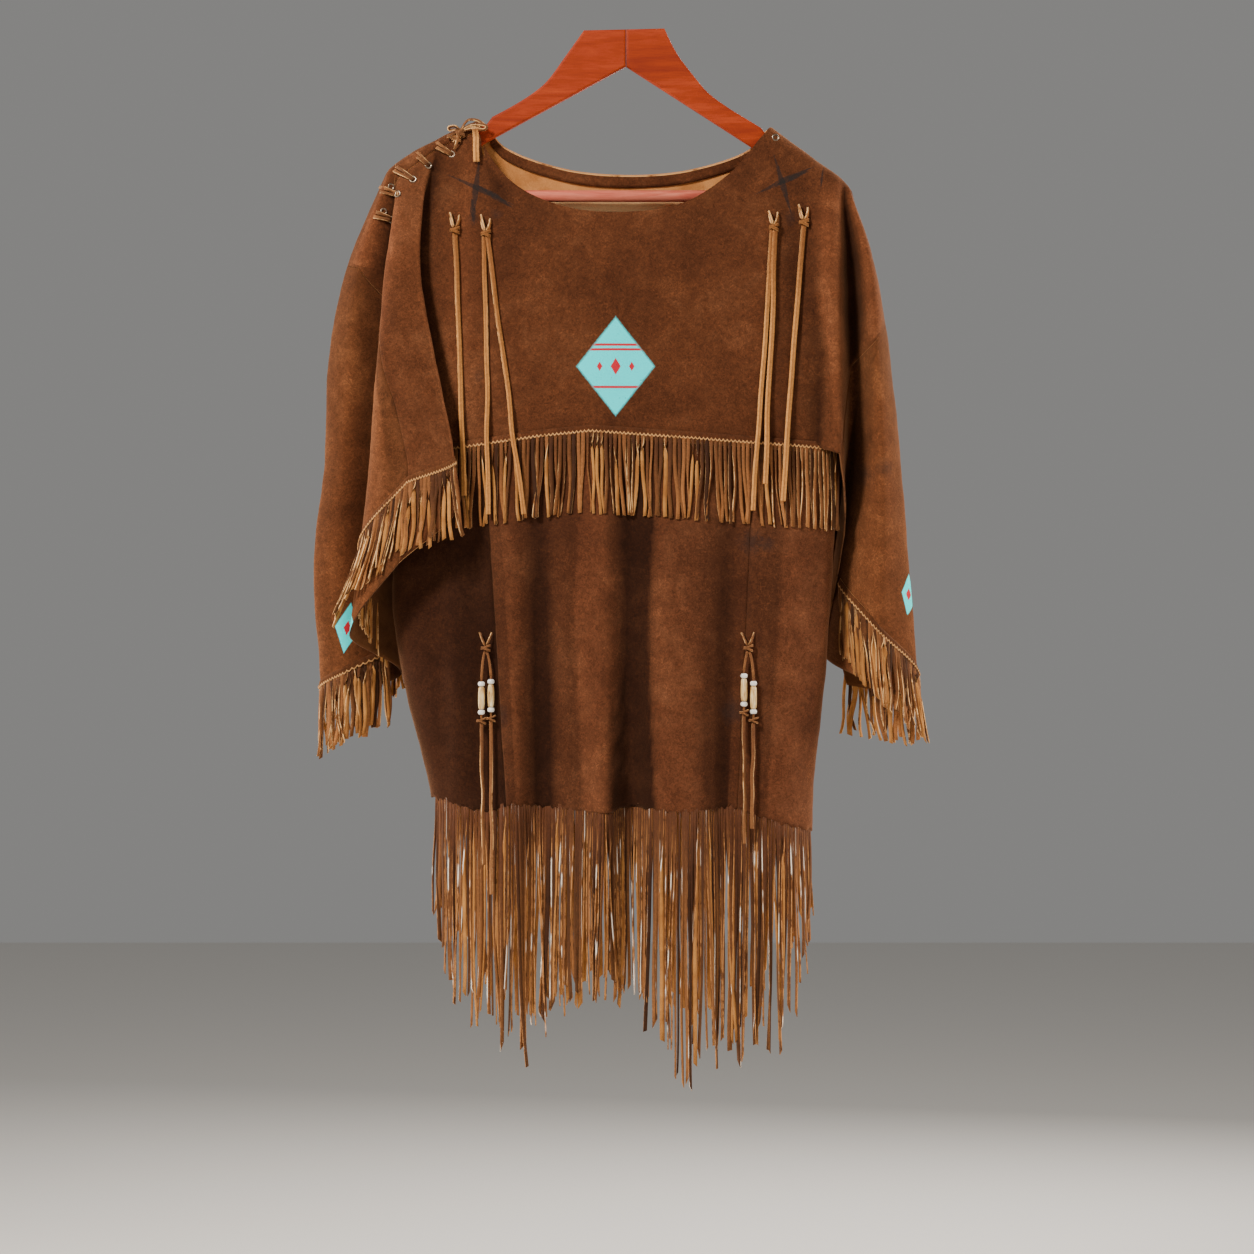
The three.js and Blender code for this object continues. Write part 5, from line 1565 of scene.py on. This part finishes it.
def tie_knot(comb, centre, width, shade):
    """A knot of flat lace: two crossing turns round the strands that it holds."""
    for tilt, radius, lift in KNOT_TURNS:
        points = []
        for k in range(13):
            a = 2 * math.pi * k / 12
            points.append(centre + Vector((radius * math.cos(a), 0.72 * radius * math.sin(a),
                                           lift + tilt * radius * math.cos(a))))

        def place(side, f, points=points):
            return follow(points, f) + Vector((0, 0, side * width * 0.3))

        comb.ribbon(16, place, shade)


THONGS = [
    dict(name="thong_chest_1", seat=2.4, knot=(-182, -216), ends=[(-171, -500)]),
    dict(name="thong_chest_2", seat=3.2, knot=(-149, -220), ends=[(-145, -520), (-108, -520)]),
    dict(name="thong_chest_3", seat=2.6, knot=(157, -213), ends=[(134, -516), (147, -488)]),
    dict(name="thong_chest_4", seat=2.7, knot=(189, -208), ends=[(166, -506)]),
]
THONG_WIDTH = 4.9
THONG_WALL = 1.8
THONG_LIFT = 5.4
THONG_SEED = 41
LACE_WALL = 1.5


def make_thong(row, seed):
    comb = Strands(seed)
    rng = comb.rng
    x, z = row["knot"]
    centre = in_front(x, z, THONG_LIFT)
    tie_knot(comb, centre, 5.0, 0.15)
    for side in (-1, 1):
        root = in_front(x + side * 4.5, z + 15, row["seat"] - 0.6)
        arm = [root, in_front(x + side * 4, z + 8, 5.5), centre + Vector((side * 1.2, -0.4, 2))]
        lay_lace(comb, arm, 2.6, 0.35, (1.2, 0.5))
        loose = [centre + Vector((side * 1, -0.6, 1)), in_front(x + side * 3, z + 9, 7),
                 in_front(x + side * 5.5, z + rng.uniform(16, 21), 4.6)]
        if side < 0:
            lay_lace(comb, loose, 2.4, 0.6, (0.9, 1.3))
    for k, (end_x, end_z) in enumerate(row["ends"]):
        shift = (k - (len(row["ends"]) - 1) / 2) * 3.4
        points = []
        for f in shares(7):
            height = mix(z - 3, end_z, f)
            low = smooth(clamp((-400 - height) / 40))
            wander = rng.uniform(-1.1, 1.1) * min(1, 4 * f * (1 - f) + 0.2)
            points.append(in_front(mix(x + shift, end_x, f) + wander, height, mix(4.2, 8.4, low) + 0.8 * k))
        lay_lace(comb, points, THONG_WIDTH * rng.uniform(0.92, 1.1), rng.uniform(0.5, 0.9),
                 (0.15, rng.uniform(-0.5, 0.5), 0.1, rng.uniform(-0.35, 0.35)))
    comb.finish(row["name"] + "_lace", [row["name"]], THONG_WALL, LACE, slot="leather_lace")


for index, thong in enumerate(THONGS):
    make_thong(thong, THONG_SEED + index)

TASSELS = [
    dict(name="tassel_left", seat=3.6, x=-148, top=-647, ends=[(-150, -890), (-142, -921)],
         strings=[(-152.5, -699), (-142.5, -696.5)]),
    dict(name="tassel_right", seat=2.4, x=129, top=-647, ends=[(125, -868), (133, -852)],
         strings=[(124.5, -690.5), (134.5, -698.5)]),
]
BEAD = dict(radius=3.8, bore=1.5, height=5.2, steps=10, fullness=0.8)
HAIRPIPE = dict(radius=3.6, bore=1.5, height=24, steps=14, fullness=0.45)
BEAD_STEPS = 20
TASSEL_LIFT = 8
TASSEL_SEED = 51


def turn_ring(bm, profile, steps):
    """The verts of a ring turned round an upright axis from its closed profile, as radius and height."""
    before = set(bm.verts)
    verts = [bm.verts.new((r, 0, z)) for r, z in profile]
    edges = [bm.edges.new(pair) for pair in zip(verts, verts[1:] + verts[:1])]
    bmesh.ops.spin(bm, geom=verts + edges, cent=(0, 0, 0), axis=(0, 0, 1), angle=2 * math.pi, steps=steps,
                   use_merge=True)
    return [v for v in bm.verts if v not in before]


def round_profile(radius, bore, height, steps, fullness):
    outer = []
    for k in range(steps + 1):
        a = math.pi * (k / steps - 0.5)
        outer.append((bore + (radius - bore) * abs(math.cos(a)) ** fullness, height / 2 * math.sin(a)))
    return outer + [(bore * 0.9, height * 0.3), (bore * 0.9, -height * 0.3)]


def make_beads(name, nodes, profile, places, material):
    bm = bmesh.new()
    for place in places:
        bmesh.ops.translate(bm, verts=turn_ring(bm, profile, BEAD_STEPS), vec=place)
    bmesh.ops.remove_doubles(bm, verts=bm.verts, dist=1e-4)
    bmesh.ops.recalc_face_normals(bm, faces=bm.faces)
    bmesh.ops.scale(bm, vec=(MM, MM, MM), verts=bm.verts)
    return finish_piece(name, bm, [material], nodes)


def make_tassel(row, seed):
    comb = Strands(seed)
    rng = comb.rng
    x, top = row["x"], row["top"]
    centre = in_front(x, top - 25, TASSEL_LIFT)
    tie_knot(comb, centre + Vector((0, 0, 12)), 4.0, 0.5)
    for side in (-1, 1):
        root = in_front(x + side * 6.5, top + 2, row["seat"] - 0.6)
        path = [root, in_front(x + side * 3.4, top - 6, 6.5), centre + Vector((side * 1, 0, 14))]
        lay_lace(comb, path, 2.3, 0.6, (0.9, 0.3))
    pipes, beads = [], []
    for (string_x, string_z), (end_x, end_z) in zip(row["strings"], row["ends"]):
        half = (HAIRPIPE["height"] + BEAD["height"]) / 2 + 0.3
        middle = string_z - half
        bottom = middle - half - 9
        level = [Vector((string_x, centre.y, z)) for z in (string_z + 6, middle, bottom)]
        path = [centre + Vector((0, 0, 10)), centre + Vector(((string_x - x) * 0.6, 0, 0)), level[0]]
        lay_lace(comb, path, 2.6, 0.6)
        lay_lace(comb, level, 2.0, 0.6)
        tie_knot(comb, level[2] + Vector((0, 0, 1)), 2.8, 0.5)
        pipes.append(Vector((string_x, centre.y, middle)))
        beads += [Vector((string_x, centre.y, string_z)), Vector((string_x, centre.y, middle - half))]
        points = []
        for f in shares(6):
            z = mix(bottom - 2, end_z, f)
            at = mix(string_x, end_x, f) + rng.uniform(-1, 1) * 4 * f * (1 - f)
            points.append(Vector((at, min(centre.y, in_front(at, z, 6).y), z)))
        lay_lace(comb, points, 3.6, rng.uniform(0.5, 0.8),
                 (0.1, rng.uniform(-0.8, 0.8), rng.uniform(-0.5, 0.5)))
    name = row["name"]
    comb.finish(name + "_lace", [name], LACE_WALL, DARK_LACE, slot="leather_lace")
    pipe_nodes = [f"{name}_hairpipe_{i}" for i in (1, 2)]
    bead_nodes = [f"{name}_bead_{i}" for i in (1, 2, 3, 4)]
    make_beads(name + "_pipes", pipe_nodes, round_profile(**HAIRPIPE), pipes, BONE)
    make_beads(name + "_beads", bead_nodes, round_profile(**BEAD), beads, WHITE_GLASS)


for index, tassel in enumerate(TASSELS):
    make_tassel(tassel, TASSEL_SEED + index)


# Lacing of the left shoulder
FRONT_EYELETS = [(-186, -134.5), (-211, -146.5), (-227, -162), (-243, -177.5), (-250, -204)]
BACK_EYELETS = [(-193, -118), (-213, -128), (-236, -143), (-251, -169), (-259, -195.5)]


BOW_LOOP = [(0, 0, 0), (0.4, -3, 1), (1, -2, 0.8), (0.95, -1, 0.3), (0.45, -2, 0.35), (0, 0, 0)]


def shoulder_point(x, z, lift):
    return on_cape(front_line(x, z), z, lift)[0]


def make_lacing():
    """From each front eyelet two flat laces run up to the lap, and end in a bow at the neck."""
    comb = Strands(61)
    rng = comb.rng
    for front, back in zip(FRONT_EYELETS, BACK_EYELETS):
        for k in (-1, 1):
            reach = rng.uniform(0.75, 1.0)
            end_x = mix(front[0], back[0], reach) - 12 * reach
            end_z = mix(front[1], back[1], reach * 0.7) + k * 1.6
            path = [shoulder_point(front[0], front[1] + k * 0.5, 1.0)]
            for f, lift in ((0.3, 3.4), (0.7, 3.6), (1.0, 1.4)):
                path.append(shoulder_point(mix(front[0], end_x, f), mix(front[1], end_z, f) + k * 1.2, lift))
            lay_lace(comb, path, rng.uniform(2.8, 3.8), rng.uniform(0.2, 0.7), (0.2, 0.7 * k, -0.2))
    bow = shoulder_point(-176, -112, 5)
    tie_knot(comb, bow, 6, 0.35)
    tie_knot(comb, bow + Vector((-4, 0, -6)), 5, 0.5)
    tie_knot(comb, bow + Vector((-9, 0, -4)), 4, 0.3)
    for reach, rise in ((22, 12), (28, 7), (-12, 5)):
        loop = [bow + Vector((reach * x, y, rise * z)) for x, y, z in BOW_LOOP]
        lay_lace(comb, loop, 3.0, rng.uniform(0.3, 0.8), (1.2, 0.6, 1.2), 24)
    for k in range(4):
        start = bow + Vector((rng.uniform(-8, 6), -2, rng.uniform(-2, 4)))
        low = in_front(start.x + rng.uniform(-8, 4), start.z - rng.uniform(9, 18), 4)
        path = [start, (start + low) / 2 + Vector((2, -3, 2)), low]
        lay_lace(comb, path, 2.8, rng.uniform(0.2, 0.9), (0.4, 1.0))
    comb.finish("shoulder_lacing", ["lacing_left"], LACE_WALL, DARK_LACE, slot="leather_lace")


def make_lace_end():
    comb = Strands(62)
    top = in_front(-161, -108, 7)
    path = [top, in_front(-160, -118, 6), in_front(-160, -130, 5), in_front(-159.5, -143, 4.2)]
    lay_lace(comb, path, 6.4, 0.9, (0.3, 0.0, 0.1), 9)
    comb.finish("lace_end", ["lacing_end_left"], 1.6, LACE, slot="leather_lace")


make_lace_end()
make_lacing()
EYELET = dict(radius=3.1, ring=0.95, lift=0.9)
RIGHT_EYELET = (159.5, -116.5)
EYELET_STEPS = 18


def make_eyelets():
    """Metal rings pressed into the cloth, each turned to lie on it."""
    bm = bmesh.new()
    profile = [(EYELET["radius"] + EYELET["ring"] * math.cos(a), 0.7 * EYELET["ring"] * math.sin(a))
               for a in (k * math.pi / 4 for k in range(8))]
    for x, z in FRONT_EYELETS + BACK_EYELETS[3:] + [RIGHT_EYELET]:
        if x < 0:
            t = front_line(x, z)
        else:
            t = search_line(x, z, right_line_at("right_chest"), right_line_at("neck_right") + 1)
        point, normal = on_cape(t, z, EYELET["lift"])
        ring = turn_ring(bm, profile, EYELET_STEPS)
        turn = Vector((0, 0, 1)).rotation_difference(normal).to_matrix()
        bmesh.ops.rotate(bm, verts=ring, cent=(0, 0, 0), matrix=turn)
        bmesh.ops.translate(bm, verts=ring, vec=point)
    bmesh.ops.recalc_face_normals(bm, faces=bm.faces)
    bmesh.ops.scale(bm, vec=(MM, MM, MM), verts=bm.verts)
    finish_piece("eyelets", bm, [NICKEL])


make_eyelets()

# Each sheet of the dress, the size and area it was cut to in metres, and what is sewn or tied to it
SHEETS = [
    (front_panel, (0.64, 0.4), 0.19,
     ["chest_fringe", "chest_fringe_edge", "shoulder_lacing", "lace_end", "eyelets",
      *(f"thong_chest_{i}_lace" for i in (1, 2, 3, 4))]),
    (back_panel, (0.62, 0.345), 0.166, ["back_fringe", "back_fringe_edge"]),
    (left_sleeve, (0.4, 0.5), 0.12,
     [f"left_{part}_fringe{end}" for part in ("flap", "sleeve", "back") for end in ("", "_edge")]),
    (right_sleeve, (0.26, 0.42), 0.081,
     [f"right_{part}_fringe{end}" for part in ("sleeve", "back") for end in ("", "_edge")]),
    (neck_facing, (0.3, 0.013), 0.0038, []),
    (skirt_front, (0.31, 0.39), 0.115,
     ["hem_front_fringe",
      *(f"tassel_{side}_{part}" for side in ("left", "right") for part in ("lace", "pipes", "beads"))]),
    (skirt_back, (0.29, 0.385), 0.106, ["hem_back_fringe"]),
    (skirt_left, (0.245, 0.385), 0.093, []),
    (skirt_right, (0.225, 0.41), 0.087, []),
]
for sheet, flat, area, sewn_on in SHEETS:
    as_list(sewn_on)
